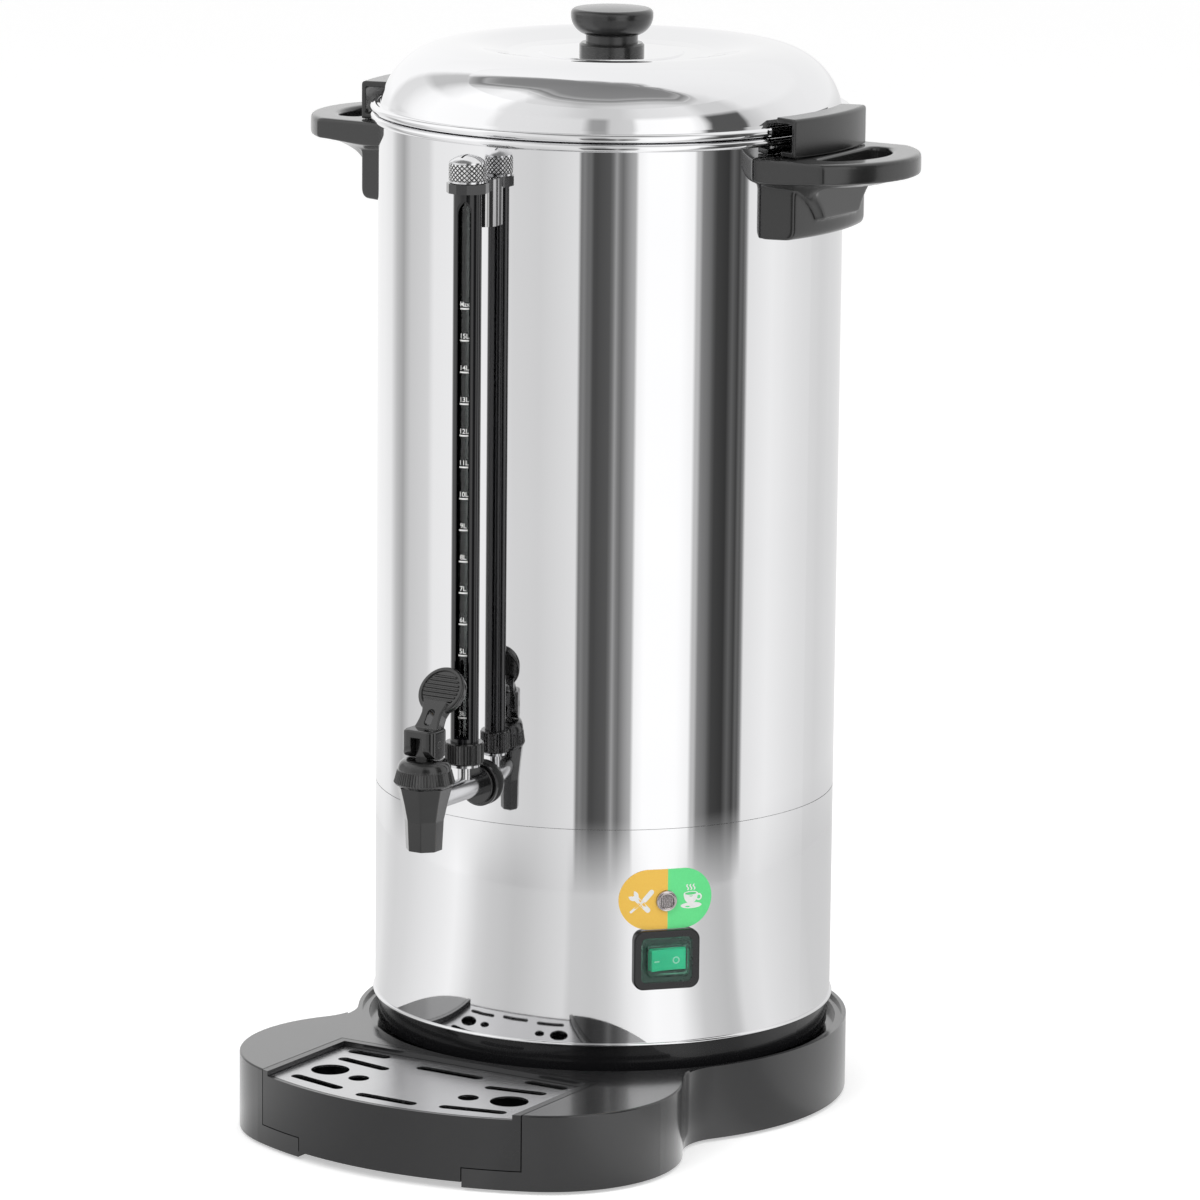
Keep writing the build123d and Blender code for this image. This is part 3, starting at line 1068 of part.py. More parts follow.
def gauge_cap():
    """Domed cap screwed on the bracket's neck."""
    z0 = RING_Z1 + 0.3
    side = [Line((0, 0, z0), (CAP_R, 0, z0)), Line((CAP_R, 0, z0), (CAP_R, 0, CAP_Z1)),
            TangentArc((0, 0, CAP_DOME_Z), (CAP_R, 0, CAP_Z1), tangent=(1, 0, 0)),
            Line((0, 0, CAP_DOME_Z), (0, 0, z0))]
    cap = revolve(make_face(side), Axis.Z) - rod(GUARD_R + RUN, z0 - 1, RING_Z1 + 6.3)
    cap -= block(-0.7, 0.7, -CAP_R, CAP_R, CAP_DOME_Z - 1.4, CAP_DOME_Z + 1)
    return Pos(0, -GAUGE_Y, 0) * cap


# ---- Switch, lamp and status plate ----------------------------------------------------------

def switch_housing():
    """Bezel and box of the rocker switch."""
    body = panel(BEZEL_W, BEZEL_H, 6, FRONT_FACE, -TANK_R + 6, SWITCH_Z)
    rim = body.edges().filter_by(lambda e: abs(e.center().Y - FRONT_FACE) < 0.01)
    body = fillet(rim, 1.0)
    body -= rod(TANK_R + 0.05, SWITCH_Z - 30, SWITCH_Z + 30)
    body += block(-SWITCH_BODY_W / 2, SWITCH_BODY_W / 2, FRONT_FACE + 1.2, FRONT_FACE + SWITCH_DEPTH,
                  SWITCH_Z - SWITCH_BODY_H / 2, SWITCH_Z + SWITCH_BODY_H / 2)
    body -= panel(SWITCH_BODY_W - 2, SWITCH_BODY_H - 2, 3, FRONT_FACE - 1, FRONT_FACE + 1.6, SWITCH_Z)
    body -= panel(ROCKER_W + 3.4, ROCKER_H + 1.2, 0.8, FRONT_FACE, FRONT_FACE + 14, SWITCH_Z)
    for side in (-1, 1):
        stub = rod(1.2, SWITCH_Z + side * 5.4, SWITCH_Z + side * 6.9, 0, FRONT_FACE + 8)
        body += stub
    return around(body, CONTROL_DEG)


def rocker_switch():
    """Two-way rocker on upright stub pins; at rest its right-hand side stands out."""
    half = ROCKER_W / 2
    plan = make_face([Line((-half, 0), (-half, 5)), Line((-half, 5), (-4, 10.5)), Line((-4, 10.5), (4, 10.5)),
                      Line((4, 10.5), (half, 5)), Line((half, 5), (half, 0)),
                      ThreePointArc((half, 0), (0, 1.2), (-half, 0))])
    body = slab(plan, -ROCKER_H / 2, ROCKER_H / 2)
    body -= rod(1.2 + 0.06, -ROCKER_H / 2 - 1, -ROCKER_H / 2 + 1.2, 0, 9 - 0.4)
    body -= rod(1.2 + 0.06, ROCKER_H / 2 - 1.2, ROCKER_H / 2 + 1, 0, 9 - 0.4)
    placed = Pos(0, FRONT_FACE - 0.6, SWITCH_Z) * body
    tilt = Pos(0, FRONT_FACE + 8, 0) * Rot(0, 0, 7) * Pos(0, -FRONT_FACE - 8, 0)
    return around(tilt * placed, CONTROL_DEG)


def switch_boot():
    """Clear soft cover clamped in the bezel's window."""
    width = SWITCH_BODY_W - 2 - 0.2
    height = SWITCH_BODY_H - 2 - 0.2
    boot = panel(width, height, 3, FRONT_FACE - 0.4, FRONT_FACE + 1.5, SWITCH_Z)
    dome = panel(width - 4, height - 8, 3, FRONT_FACE - 4.2, FRONT_FACE, SWITCH_Z)
    edge = dome.edges().filter_by(lambda e: abs(e.center().Y - FRONT_FACE + 4.2) < 0.01)
    boot += fillet(edge, 1.2)
    boot -= panel(width - 5.6, height - 9.6, 2.2, FRONT_FACE - 3.4, FRONT_FACE + 2, SWITCH_Z)
    return around(boot, CONTROL_DEG)


def lamp_bezel():
    body = rod_y(LAMP_R, -TANK_R - 2.2, -TANK_R + 2, LAMP_Z) - rod(TANK_R + 0.05, LAMP_Z - 9, LAMP_Z + 9)
    rim = body.edges().filter_by(lambda e: abs(e.center().Y + TANK_R + 2.2) < 0.01)
    body = fillet(rim, 0.8)
    return around(body - rod_y(LENS_R, -TANK_R - 3, -TANK_R + 3, LAMP_Z), CONTROL_DEG)


def lamp_lens():
    lens = rod_y(LENS_R, -TANK_R - 1.4, -TANK_R + 14, LAMP_Z)
    return around(lens + rod_y(LENS_R + 1.6, -TANK_R + 1.2, -TANK_R + 4, LAMP_Z), CONTROL_DEG)


def status_plate():
    """Thin oval plate around the lamp, bent to the band."""
    oval = Plane.XZ * SlotOverall(STATUS_W, STATUS_H)
    plate = Pos(0, -TANK_R + 8, STATUS_Z) * extrude(oval, 12)
    plate &= ring(TANK_R + STATUS_T, TANK_R + 0.03, STATUS_Z - 30, STATUS_Z + 30)
    return around(plate - rod_y(LAMP_R + 0.1, -TANK_R - 5, -TANK_R + 5, LAMP_Z), CONTROL_DEG)


# ---- Percolator -----------------------------------------------------------------------------

def pump_tube():
    tube = ring(PUMP_R, PUMP_R - 0.7, BELL_TOP_Z - 4, PUMP_TOP_Z)
    rest = turned((PUMP_R - 0.3, REST_Z - 9), (PUMP_R + 1, REST_Z - 9), (REST_R, REST_Z - 1), (REST_R, REST_Z),
                  (PUMP_R - 0.3, REST_Z))
    return tube + rest


def pump_bell():
    """Bell that stands in the pump well."""
    low = WELL_Z
    r = PUMP_R
    return turned((BELL_R, low), (BELL_R, low + 3), (BELL_R - 8, low + 9), (r + 1.6, BELL_TOP_Z - 6),
                  (r + 1.6, BELL_TOP_Z), (r, BELL_TOP_Z), (r, BELL_TOP_Z - 6.6), (BELL_R - 8.8, low + 8.2),
                  (BELL_R - THIN, low + 2.6), (BELL_R - THIN, low))


def coffee_basket():
    """Perforated basket with a sleeve around the pump tube and a rolled lip."""
    z0 = REST_Z
    z1 = REST_Z + BASKET_H
    basket = turned((PUMP_R + 0.3, z0), (BASKET_R, z0), (BASKET_R, z1), (BASKET_R + BASKET_LIP, z1),
                    (BASKET_R + BASKET_LIP, z1 + THIN), (BASKET_R - THIN, z1 + THIN), (BASKET_R - THIN, z0 + THIN),
                    (SLEEVE_R, z0 + THIN), (SLEEVE_R, z1 - 6), (PUMP_R + 0.3, z1 - 6))
    holes = Sketch()
    for count, r in ((10, 22), (16, 38), (22, 54), (28, 70)):
        for i in range(count):
            turn = radians(360 * i / count)
            holes += Pos(r * cos(turn), r * sin(turn)) * RegularPolygon(2.2, 6)
    return basket - slab(holes, z0 - 1, z0 + THIN + 1)


def basket_cover():
    """Perforated spreader that rests on the basket's lip."""
    z0 = REST_Z + BASKET_H + THIN
    cover = turned((PUMP_R + 0.3, z0), (SPREADER_R, z0), (SPREADER_R, z0 + 4), (SPREADER_R - THIN, z0 + 4),
                   (SPREADER_R - THIN, z0 + THIN), (PUMP_R + 0.3, z0 + THIN))
    holes = Sketch()
    for count, r in ((8, 24), (14, 46), (20, 68)):
        for i in range(count):
            turn = radians(360 * i / count)
            holes += Pos(r * cos(turn), r * sin(turn)) * RegularPolygon(1.8, 6)
    return cover - slab(holes, z0 - 1, z0 + THIN + 1)


def build():
    os.makedirs("parts", exist_ok=True)
    save("base_plinth", base_plinth())
    save("base_feet", base_feet())
    save("drip_tray", drip_tray())
    save("drip_grate", drip_grate())
    save("tank_shell", tank_shell())
    save("tank_floor", tank_floor())
    save("lower_band", lower_band())
    save("bottom_ring", bottom_ring())
    save("bottom_cover", bottom_cover())
    save("cover_screws", cover_screws())
    save("urn_feet", urn_feet())
    save("brew_heater", element(BREW_R, BREW_TUBE_R, BREW_PLATE))
    save("keep_warm_heater", element(WARM_R, WARM_TUBE_R, WARM_PLATE))
    save("heater_clamp", heater_clamp())
    save("clamp_stud", clamp_stud())
    save("thermostat", sensor(120, 6, 3.5))
    save("thermal_cutout", sensor(240, 7, 3.0))
    save("terminal_block", terminal_block())
    save("power_inlet", power_inlet())
    save("inlet_pins", inlet_pins())
    save("inlet_screws", inlet_screws())
    right_handle = handle()
    right_catch = lid_catch()
    save("handle_right", right_handle)
    save("handle_left", Rot(0, 0, 180) * right_handle)
    save("lid_catch_right", right_catch)
    save("lid_catch_left", Rot(0, 0, 180) * right_catch)
    save("handle_screws", handle_screws())
    save("lid_shell", lid_shell())
    save("knob", knob())
    save("knob_spacer", knob_spacer())
    save("knob_screw", knob_screw())
    save("tap_shank", tap_shank())
    save("tap_gaskets", tap_gaskets())
    save("tap_collar", tap_collar())
    save("tap_nut", tap_nut())
    save("spout_body", spout_body())
    save("bonnet", bonnet())
    save("tap_stem", tap_stem())
    save("seat_cup", seat_cup())
    save("stem_spring", stem_spring())
    save("tap_lever", tap_lever())
    save("lever_pin", lever_pin())
    save("gauge_glass", gauge_glass())
    save("gauge_guard", gauge_guard())
    save("gauge_bracket", gauge_bracket())
    save("gauge_seals", gauge_seals())
    save("gauge_screw", gauge_screw())
    save("gauge_nut", gauge_nut())
    save("gauge_cap", gauge_cap())
    save("switch_housing", switch_housing())
    save("rocker_switch", rocker_switch())
    save("switch_boot", switch_boot())
    save("lamp_bezel", lamp_bezel())
    save("lamp_lens", lamp_lens())
    save("status_plate", status_plate())
    save("pump_tube", pump_tube())
    save("pump_bell", pump_bell())
    save("coffee_basket", coffee_basket())
    save("basket_cover", basket_cover())


build()
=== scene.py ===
import json
import math
import bpy
import bmesh
from mathutils import Matrix, Vector


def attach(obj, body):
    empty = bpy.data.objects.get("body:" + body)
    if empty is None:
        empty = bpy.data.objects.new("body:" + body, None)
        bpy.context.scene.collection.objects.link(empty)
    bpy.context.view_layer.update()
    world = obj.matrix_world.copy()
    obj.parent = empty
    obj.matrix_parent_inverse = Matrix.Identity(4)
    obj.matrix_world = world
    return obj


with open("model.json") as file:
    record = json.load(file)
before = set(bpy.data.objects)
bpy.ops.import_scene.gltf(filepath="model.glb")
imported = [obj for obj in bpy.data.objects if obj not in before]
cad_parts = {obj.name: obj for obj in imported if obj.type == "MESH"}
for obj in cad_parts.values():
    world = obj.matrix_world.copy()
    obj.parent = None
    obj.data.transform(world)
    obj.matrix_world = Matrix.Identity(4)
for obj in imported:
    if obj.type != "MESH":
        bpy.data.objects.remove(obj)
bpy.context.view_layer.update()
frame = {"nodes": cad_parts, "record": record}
NODES = frame["nodes"]
SLOT_OF = {sub["node"]: sub["material_slot"] for sub in frame["record"]["subparts"]}

MM = 0.001
TANK_R = 134.0 * MM
GAUGE_Y = -152.5 * MM
WINDOW = math.radians(18.0)
LITRE_5_Z = 285.3 * MM
LITRE_PITCH = 18.02 * MM
LITRES = range(3, 17)
CONTROL = math.radians(47.0)
STATUS_Z = 143.4 * MM
LAMP_Z = 142.5 * MM
SWITCH_Z = 108.3 * MM
CLIP_DEPTH = 9.0 * MM
BEZEL_R = 6.0 * MM
GREEN_FROM = 0.8 * MM
BEAD_STEPS = 256
RIM_BEAD_R = 2.46 * MM
BAND_BEAD_R = 1.05 * MM
PLATE_R = 134.48 * MM
INK = 0.03 * MM
GLASS_R = 5.62 * MM
LABEL_SIZE = 3.9 * MM
LABEL_REACH = 2.95 * MM
VIEW_AZ = 31.5
VIEW_EL = 11.602
VIEW_ROLL = 0.573
AIM_Z = 290.357 * MM
AIM_SIDE = -3.62 * MM
EYE_DISTANCE = 4.0637
FOCAL_PX = 6962.9
FRAME_PX = 1200.0
SENSOR = 36.0
RAMP_STOPS = 32
FILL = 0.55


# ---- Node helpers ---------------------------------------------------------------------------

class Shader:
    """A material with a Principled shader and helpers to build its node tree."""

    def __init__(self, name, **inputs):
        self.mat = bpy.data.materials.new(name)
        self.mat.use_nodes = True
        self.tree = self.mat.node_tree
        self.bsdf = self.tree.nodes["Principled BSDF"]
        for key, value in inputs.items():
            self.bsdf.inputs[key.replace("_", " ")].default_value = value
        self.coord = self.tree.nodes.new("ShaderNodeTexCoord").outputs["Object"]

    def node(self, kind, **settings):
        n = self.tree.nodes.new(kind)
        for key, value in settings.items():
            setattr(n, key, value)
        return n

    def link(self, a, b):
        self.tree.links.new(a, b)

    def stretched(self, scale):
        """Object coordinates stretched by scale."""
        n = self.node("ShaderNodeMapping")
        n.inputs["Scale"].default_value = scale
        self.link(self.coord, n.inputs["Vector"])
        return n.outputs["Vector"]

    def round_tank(self, around, up):
        """Coordinates that run round the Z axis: x follows the angle and y the height."""
        x, y, z = self.xyz()
        join = self.node("ShaderNodeCombineXYZ")
        self.link(self.math("MULTIPLY", self.math("ARCTAN2", x, y), around), join.inputs[0])
        self.link(self.math("MULTIPLY", z, up), join.inputs[1])
        return join.outputs[0]

    def xyz(self):
        """The three object coordinates, each by itself."""
        n = self.node("ShaderNodeSeparateXYZ")
        self.link(self.coord, n.inputs[0])
        return tuple(n.outputs)

    def math(self, operation, a, b=None, c=None):
        n = self.node("ShaderNodeMath", operation=operation)
        for i, value in enumerate((a, b, c)):
            if value is None:
                continue
            if isinstance(value, (int, float)):
                n.inputs[i].default_value = value
            else:
                self.link(value, n.inputs[i])
        return n.outputs[0]

    def noise(self, vector, scale, detail=3.0, rough=0.5):
        n = self.node("ShaderNodeTexNoise")
        n.inputs["Scale"].default_value = scale
        n.inputs["Detail"].default_value = detail
        n.inputs["Roughness"].default_value = rough
        self.link(vector, n.inputs["Vector"])
        return n.outputs["Fac"]

    def span(self, value, low, high):
        """value from 0..1 mapped to low..high."""
        n = self.node("ShaderNodeMapRange")
        n.inputs["To Min"].default_value = low
        n.inputs["To Max"].default_value = high
        self.link(value, n.inputs["Value"])
        return n.outputs["Result"]

    def colours(self, value, stops):
        n = self.node("ShaderNodeValToRGB")
        ramp = n.color_ramp
        while len(ramp.elements) < len(stops):
            ramp.elements.new(0.5)
        for element, (at, colour) in zip(ramp.elements, stops):
            element.position = at
            element.color = (*colour, 1.0)
        self.link(value, n.inputs["Fac"])
        return n.outputs["Color"]

    def mix(self, factor, a, b):
        n = self.node("ShaderNodeMix", data_type="RGBA")
        self.link(factor, n.inputs[0])
        for socket, value in ((n.inputs[6], a), (n.inputs[7], b)):
            if isinstance(value, tuple):
                socket.default_value = (*value, 1.0)
            else:
                self.link(value, socket)
        return n.outputs[2]

    def step(self, value, start, end):
        """0 at start, 1 at end and a straight line between them."""
        n = self.node("ShaderNodeMapRange")
        n.inputs["From Min"].default_value = start
        n.inputs["From Max"].default_value = end
        self.link(value, n.inputs["Value"])
        return n.outputs["Result"]

    def turn(self):
        """Angle about the tank's axis as a share of a turn: 0.5 in the viewing direction, more to the right."""
        x, y, _ = self.xyz()
        angle = self.math("ARCTAN2", x, self.math("MULTIPLY", y, -1.0))
        turns = self.math("SUBTRACT", self.math("DIVIDE", angle, math.tau), VIEW_AZ / 360.0)
        return self.math("FRACT", self.math("ADD", turns, 1.5))

    def tones(self, levels):
        """Grey level by turn(), from rows of degrees and level. A long list takes two ramps."""
        unit = self.turn()
        stops = [((a + 180.0) / 360.0, (v, v, v)) for a, v in levels]
        if len(stops) <= RAMP_STOPS:
            return self.colours(unit, stops)
        left = self.colours(unit, [stop for stop in stops if stop[0] <= 0.5])
        right = self.colours(unit, [stop for stop in stops if stop[0] >= 0.5])
        return self.mix(self.math("GREATER_THAN", unit, 0.5), left, right)

    def set(self, name, value):
        self.link(value, self.bsdf.inputs[name])

    def bump(self, height, strength, distance):
        n = self.node("ShaderNodeBump")
        n.inputs["Strength"].default_value = strength
        n.inputs["Distance"].default_value = distance
        self.link(height, n.inputs["Height"])
        self.link(n.outputs["Normal"], self.bsdf.inputs["Normal"])


def polished_steel(name, rough, tint, grain):
    """Mirror-polished sheet with faint lines that run round the body, and slight waviness."""
    s = Shader(name, Metallic=1.0)
    lines = s.noise(s.round_tank(6.0, 2600.0), 1.0, 4.0, 0.7)
    cloud = s.noise(s.coord, 9.0, 3.0)
    s.set("Roughness", s.math("ADD", s.span(lines, rough * 0.6, rough * 1.4), s.span(cloud, -0.004, 0.008)))
    shade = s.mix(cloud, tuple(0.95 * c for c in tint), tint)
    s.set("Base Color", shade)
    s.bump(lines, grain, 0.00002)
    return s.mat


def satin_steel(name, rough, tint, stretch=(20.0, 900.0, 20.0)):
    """Brushed or cast metal: its lines are long where stretch is small."""
    s = Shader(name, Metallic=1.0)
    lines = s.noise(s.stretched(stretch), 1.0, 4.0, 0.7)
    cloud = s.noise(s.coord, 30.0, 4.0)
    s.set("Roughness", s.math("ADD", s.span(lines, rough * 0.75, rough * 1.25), s.span(cloud, -0.04, 0.04)))
    s.set("Base Color", s.mix(lines, tuple(0.86 * c for c in tint), tint))
    s.bump(lines, 0.25, 0.00003)
    return s.mat


def moulded(name, colour, rough, grain=0.12, scale=900.0, specular=0.5, gloss=0.0, haze=0.05):
    """Moulded plastic with a fine texture and slight unevenness in its sheen, and a gloss coat."""
    s = Shader(name, Coat_Weight=gloss, Coat_Roughness=haze, Coat_IOR=1.55, Specular_IOR_Level=specular)
    fine = s.noise(s.coord, scale, 3.0, 0.6)
    broad = s.noise(s.coord, 22.0, 3.0)
    s.set("Roughness", s.math("ADD", s.span(fine, rough * 0.9, rough * 1.12), s.span(broad, -0.03, 0.04)))
    s.set("Base Color", s.mix(broad, tuple(0.8 * c for c in colour), tuple(1.15 * c for c in colour)))
    s.bump(fine, grain, 0.00005)
    return s.mat


def clear(name, colour, rough, ior):
    """Clear glass or plastic, a little smeared."""
    s = Shader(name, IOR=ior, Transmission_Weight=1.0)
    haze = s.noise(s.coord, 260.0, 3.0)
    s.set("Roughness", s.span(haze, rough, rough + 0.01))
    s.set("Base Color", s.mix(haze, tuple(0.96 * c for c in colour), colour))
    return s.mat


def ink(name, colour):
    """Printed ink with slight unevenness."""
    s = Shader(name)
    blot = s.noise(s.coord, 1400.0, 3.0)
    s.set("Base Color", s.mix(blot, tuple(0.9 * c for c in colour), colour))
    s.set("Roughness", s.span(blot, 0.35, 0.5))
    return s.mat


STEEL = (0.88, 0.88, 0.89)
M = {
    "tank_steel": polished_steel("tank_steel", 0.028, STEEL, 0.05),
    "lid_steel": polished_steel("lid_steel", 0.026, STEEL, 0.04),
    "inner_steel": satin_steel("inner_steel", 0.30, (0.62, 0.62, 0.62)),
    "grate_steel": satin_steel("grate_steel", 0.24, (0.66, 0.66, 0.67), (700.0, 12.0, 20.0)),
    "element_steel": satin_steel("element_steel", 0.38, (0.42, 0.38, 0.33), (40.0, 40.0, 40.0)),
    "zinc_steel": satin_steel("zinc_steel", 0.40, (0.56, 0.58, 0.60), (60.0, 60.0, 60.0)),
    "screw_steel": satin_steel("screw_steel", 0.28, (0.64, 0.64, 0.63), (200.0, 200.0, 200.0)),
    "spring_steel": satin_steel("spring_steel", 0.25, (0.55, 0.55, 0.54), (200.0, 200.0, 200.0)),
    "sensor_metal": satin_steel("sensor_metal", 0.40, (0.62, 0.61, 0.58), (120.0, 120.0, 120.0)),
    "tap_metal": satin_steel("tap_metal", 0.16, (0.74, 0.74, 0.75), (120.0, 120.0, 120.0)),
    "gauge_chrome": satin_steel("gauge_chrome", 0.12, (0.84, 0.84, 0.85), (150.0, 150.0, 150.0)),
    "guard_black": moulded("guard_black", (0.006, 0.006, 0.007), 0.10, 0.005, 300.0, 0.05, gloss=1.0),
    "black_steel": moulded("black_steel", (0.014, 0.014, 0.014), 0.30, 0.1),
    "brass": satin_steel("brass", 0.28, (0.66, 0.50, 0.22), (200.0, 200.0, 200.0)),
    "base_plastic": moulded("base_plastic", (0.019, 0.019, 0.020), 0.20, 0.04, gloss=0.55, haze=0.12),
    "tray_plastic": moulded("tray_plastic", (0.018, 0.018, 0.019), 0.22, 0.05, gloss=0.3, haze=0.12),
    "black_plastic": moulded("black_plastic", (0.009, 0.009, 0.010), 0.26, 0.05, 900.0, 0.25, gloss=0.4),
    "handle_plastic": moulded("handle_plastic", (0.015, 0.015, 0.015), 0.22, 0.015, 300.0,
                              gloss=0.5, haze=0.14),
    "tap_plastic": moulded("tap_plastic", (0.008, 0.008, 0.008), 0.18, 0.02, 500.0, 0.3, gloss=0.9),
    "rocker_plastic": moulded("rocker_plastic", (0.03, 0.72, 0.45), 0.22, 0.05),
    "white_ceramic": moulded("white_ceramic", (0.72, 0.70, 0.66), 0.35, 0.1),
    "rubber_black": moulded("rubber_black", (0.02, 0.02, 0.02), 0.6, 0.3, 500.0, 0.3),
    "silicone": moulded("silicone", (0.62, 0.60, 0.57), 0.45, 0.15, 500.0, 0.4),
    "boot_plastic": clear("boot_plastic", (0.62, 0.98, 0.84), 0.03, 1.35),
    "gauge_glass": clear("gauge_glass", (0.93, 0.96, 0.95), 0.01, 1.47),
}


def honeycomb_lens():
    """Pale lamp lens with dark cell walls."""
    s = Shader("honeycomb_lens")
    cells = s.node("ShaderNodeTexVoronoi", feature="DISTANCE_TO_EDGE")
    cells.inputs["Scale"].default_value = 1100.0
    cells.inputs["Randomness"].default_value = 0.25
    s.link(s.coord, cells.inputs["Vector"])
    s.set("Base Color", s.colours(cells.outputs["Distance"],
                                  [(0.04, (0.10, 0.09, 0.09)), (0.16, (0.42, 0.38, 0.38)),
                                   (0.40, (0.72, 0.68, 0.68))]))
    s.set("Roughness", s.span(s.noise(s.coord, 900.0), 0.15, 0.25))
    s.bump(cells.outputs["Distance"], 0.4, 0.0002)
    return s.mat


def ribbed(name, node, count, low, high):
    """Glossy moulding with fine ribs round its own upright axis, between two heights. The rib crests are painted
    lighter as a painted highlight and the grooves darker as painted shade.
    """
    s = Shader(name, Coat_Weight=0.7, Coat_Roughness=0.08)
    box = [Vector(corner) for corner in NODES[node].bound_box]
    middle = sum(box, Vector()) / 8
    bottom = min(corner.z for corner in box)
    depth = max(corner.z for corner in box) - bottom
    x, y, z = s.xyz()
    angle = s.math("ARCTAN2", s.math("SUBTRACT", y, middle.y), s.math("SUBTRACT", x, middle.x))
    rib_and_painted_highlight = s.span(s.math("SINE", s.math("MULTIPLY", angle, float(count))), 0.5, 1.0)
    above = s.math("GREATER_THAN", z, bottom + low * depth)
    below = s.math("LESS_THAN", z, bottom + high * depth)
    there = s.math("MULTIPLY", above, below)
    # Base colour lighter on the rib crests and darker between them: painted highlight streaks and painted shade,
    # over one black plastic
    s.set("Base Color", s.mix(s.math("MULTIPLY", rib_and_painted_highlight, there), (0.010, 0.010, 0.010), (0.035, 0.035, 0.035)))
    s.set("Roughness", s.span(s.noise(s.coord, 300.0), 0.18, 0.26))
    s.bump(s.math("MULTIPLY", rib_and_painted_highlight, there), 1.0, 0.0006)
    return s.mat


def bracket_gloss():
    """Glossy black clip. Its boss by the wall is made metal, with light and dark vertical streaks painted in its
    colour as a painted reflection of the steel.
    """
    s = Shader("bracket_gloss", Coat_Weight=0.8, Coat_Roughness=0.04)
    boss = s.math("GREATER_THAN", s.xyz()[1], GAUGE_Y + CLIP_DEPTH)
    painted_reflection_streaks = s.noise(s.stretched((900.0, 900.0, 4.0)), 1.0, 3.0)
    s.set("Metallic", boss)
    # Boss colour: streaks from dark grey to pale grey, a painted reflection on a part that is black plastic
    s.set("Base Color", s.mix(boss, (0.008, 0.008, 0.009),
                              s.colours(painted_reflection_streaks, [(0.35, (0.10, 0.10, 0.10)), (0.65, (0.62, 0.62, 0.62))])))
    s.set("Roughness", s.span(painted_reflection_streaks, 0.10, 0.16))
    return s.mat


def along_wall(s):
    """Distance from the middle of the controls, positive to the right."""
    x, y, _ = s.xyz()
    return s.math("ADD", s.math("MULTIPLY", x, math.cos(CONTROL)), s.math("MULTIPLY", y, math.sin(CONTROL)))


def ringed_bezel():
    """Turned bezel of pinkish grey metal, with narrow pale rings painted as highlights and darker rings painted as
    shade round the lamp, over a bump of fine grooves.
    """
    s = Shader("ringed_bezel", Metallic=1.0)
    side = along_wall(s)
    up = s.math("SUBTRACT", s.xyz()[2], LAMP_Z)
    away = s.math("SQRT", s.math("ADD", s.math("MULTIPLY", side, side), s.math("MULTIPLY", up, up)))
    ring = s.math("DIVIDE", away, BEZEL_R)
    # Pinkish grey is the bezel's own colour. The narrow pale rings are painted highlights and the dark rings between
    # them are painted shade.
    s.set("Base Color", s.colours(ring, [(0.0, (0.25, 0.22, 0.22)), (0.66, (0.30, 0.26, 0.26)),
                                         (0.72, (0.80, 0.74, 0.73)), (0.80, (0.34, 0.30, 0.30)),
                                         (0.86, (0.78, 0.73, 0.72)), (0.97, (0.55, 0.50, 0.50))]))
    s.set("Roughness", s.span(s.noise(s.coord, 700.0), 0.14, 0.22))
    s.bump(s.math("SINE", s.math("MULTIPLY", ring, 26.0)), 0.5, 0.0003)
    return s.mat


M["lens_plastic"] = honeycomb_lens()
OWN_LOOK = {
    "gauge_bracket": bracket_gloss(),
    "bonnet": ribbed("bonnet_plastic", "bonnet", 60, 0.08, 0.42),
    "gauge_nut": ribbed("nut_plastic", "gauge_nut", 36, 0.1, 0.95),
    "lamp_bezel": ringed_bezel(),
}


def status_print():
    """Orange left half and green right half of the oval plate."""
    s = Shader("plate_print")
    side = s.math("GREATER_THAN", along_wall(s), GREEN_FROM)
    grain = s.noise(s.coord, 900.0, 3.0)
    orange = s.mix(grain, (0.96, 0.56, 0.075), (1.0, 0.64, 0.10))
    green = s.mix(grain, (0.13, 0.82, 0.27), (0.16, 0.90, 0.32))
    s.set("Base Color", s.mix(side, orange, green))
    s.set("Roughness", s.span(grain, 0.28, 0.4))
    return s.mat


M["plate_print"] = status_print()
for node_name, node_object in NODES.items():
    material = OWN_LOOK.get(node_name) or M[SLOT_OF[node_name]]
    if not node_object.material_slots:
        node_object.data.materials.append(material)
    for material_slot in node_object.material_slots:
        material_slot.material = material


# ---- Pieces finer than the frame ------------------------------------------------------------

def make_piece(name, bm, slot, body, material=None, smooth=True):
    """Closed mesh that rides on a body."""
    bmesh.ops.recalc_face_normals(bm, faces=bm.faces)
    mesh = bpy.data.meshes.new(name)
    bm.to_mesh(mesh)
    bm.free()
    for face in mesh.polygons:
        face.use_smooth = smooth
    mesh.materials.append(material or M[slot])
    piece = bpy.data.objects.new(name, mesh)
    bpy.context.collection.objects.link(piece)
    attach(piece, body)


def round_bead(name, slot, body, ring_r, z, bead_r, spans=((0, 360),), sides=20):
    """Rolled edge of a sheet: a round bead along arcs about the tank's axis."""
    bm = bmesh.new()
    for start, end in spans:
        closed = end - start >= 359.9
        count = int(BEAD_STEPS * (end - start) / 360.0)
        loops = []
        for i in range(count if closed else count + 1):
            a = math.radians(start + (end - start) * i / count)
            loop = []
            for k in range(sides):
                t = math.tau * k / sides
                r = ring_r + bead_r * math.cos(t)
                loop.append(bm.verts.new((r * math.cos(a), r * math.sin(a), z + bead_r * math.sin(t))))
            loops.append(loop)
        pairs = list(zip(loops, loops[1:]))
        if closed:
            pairs.append((loops[-1], loops[0]))
        for one, two in pairs:
            for k in range(sides):
                m = (k + 1) % sides
                bm.faces.new((one[k], one[m], two[m], two[k]))
        if not closed:
            bm.faces.new(loops[0])
            bm.faces.new(loops[-1])
    make_piece(name, bm, slot, body)


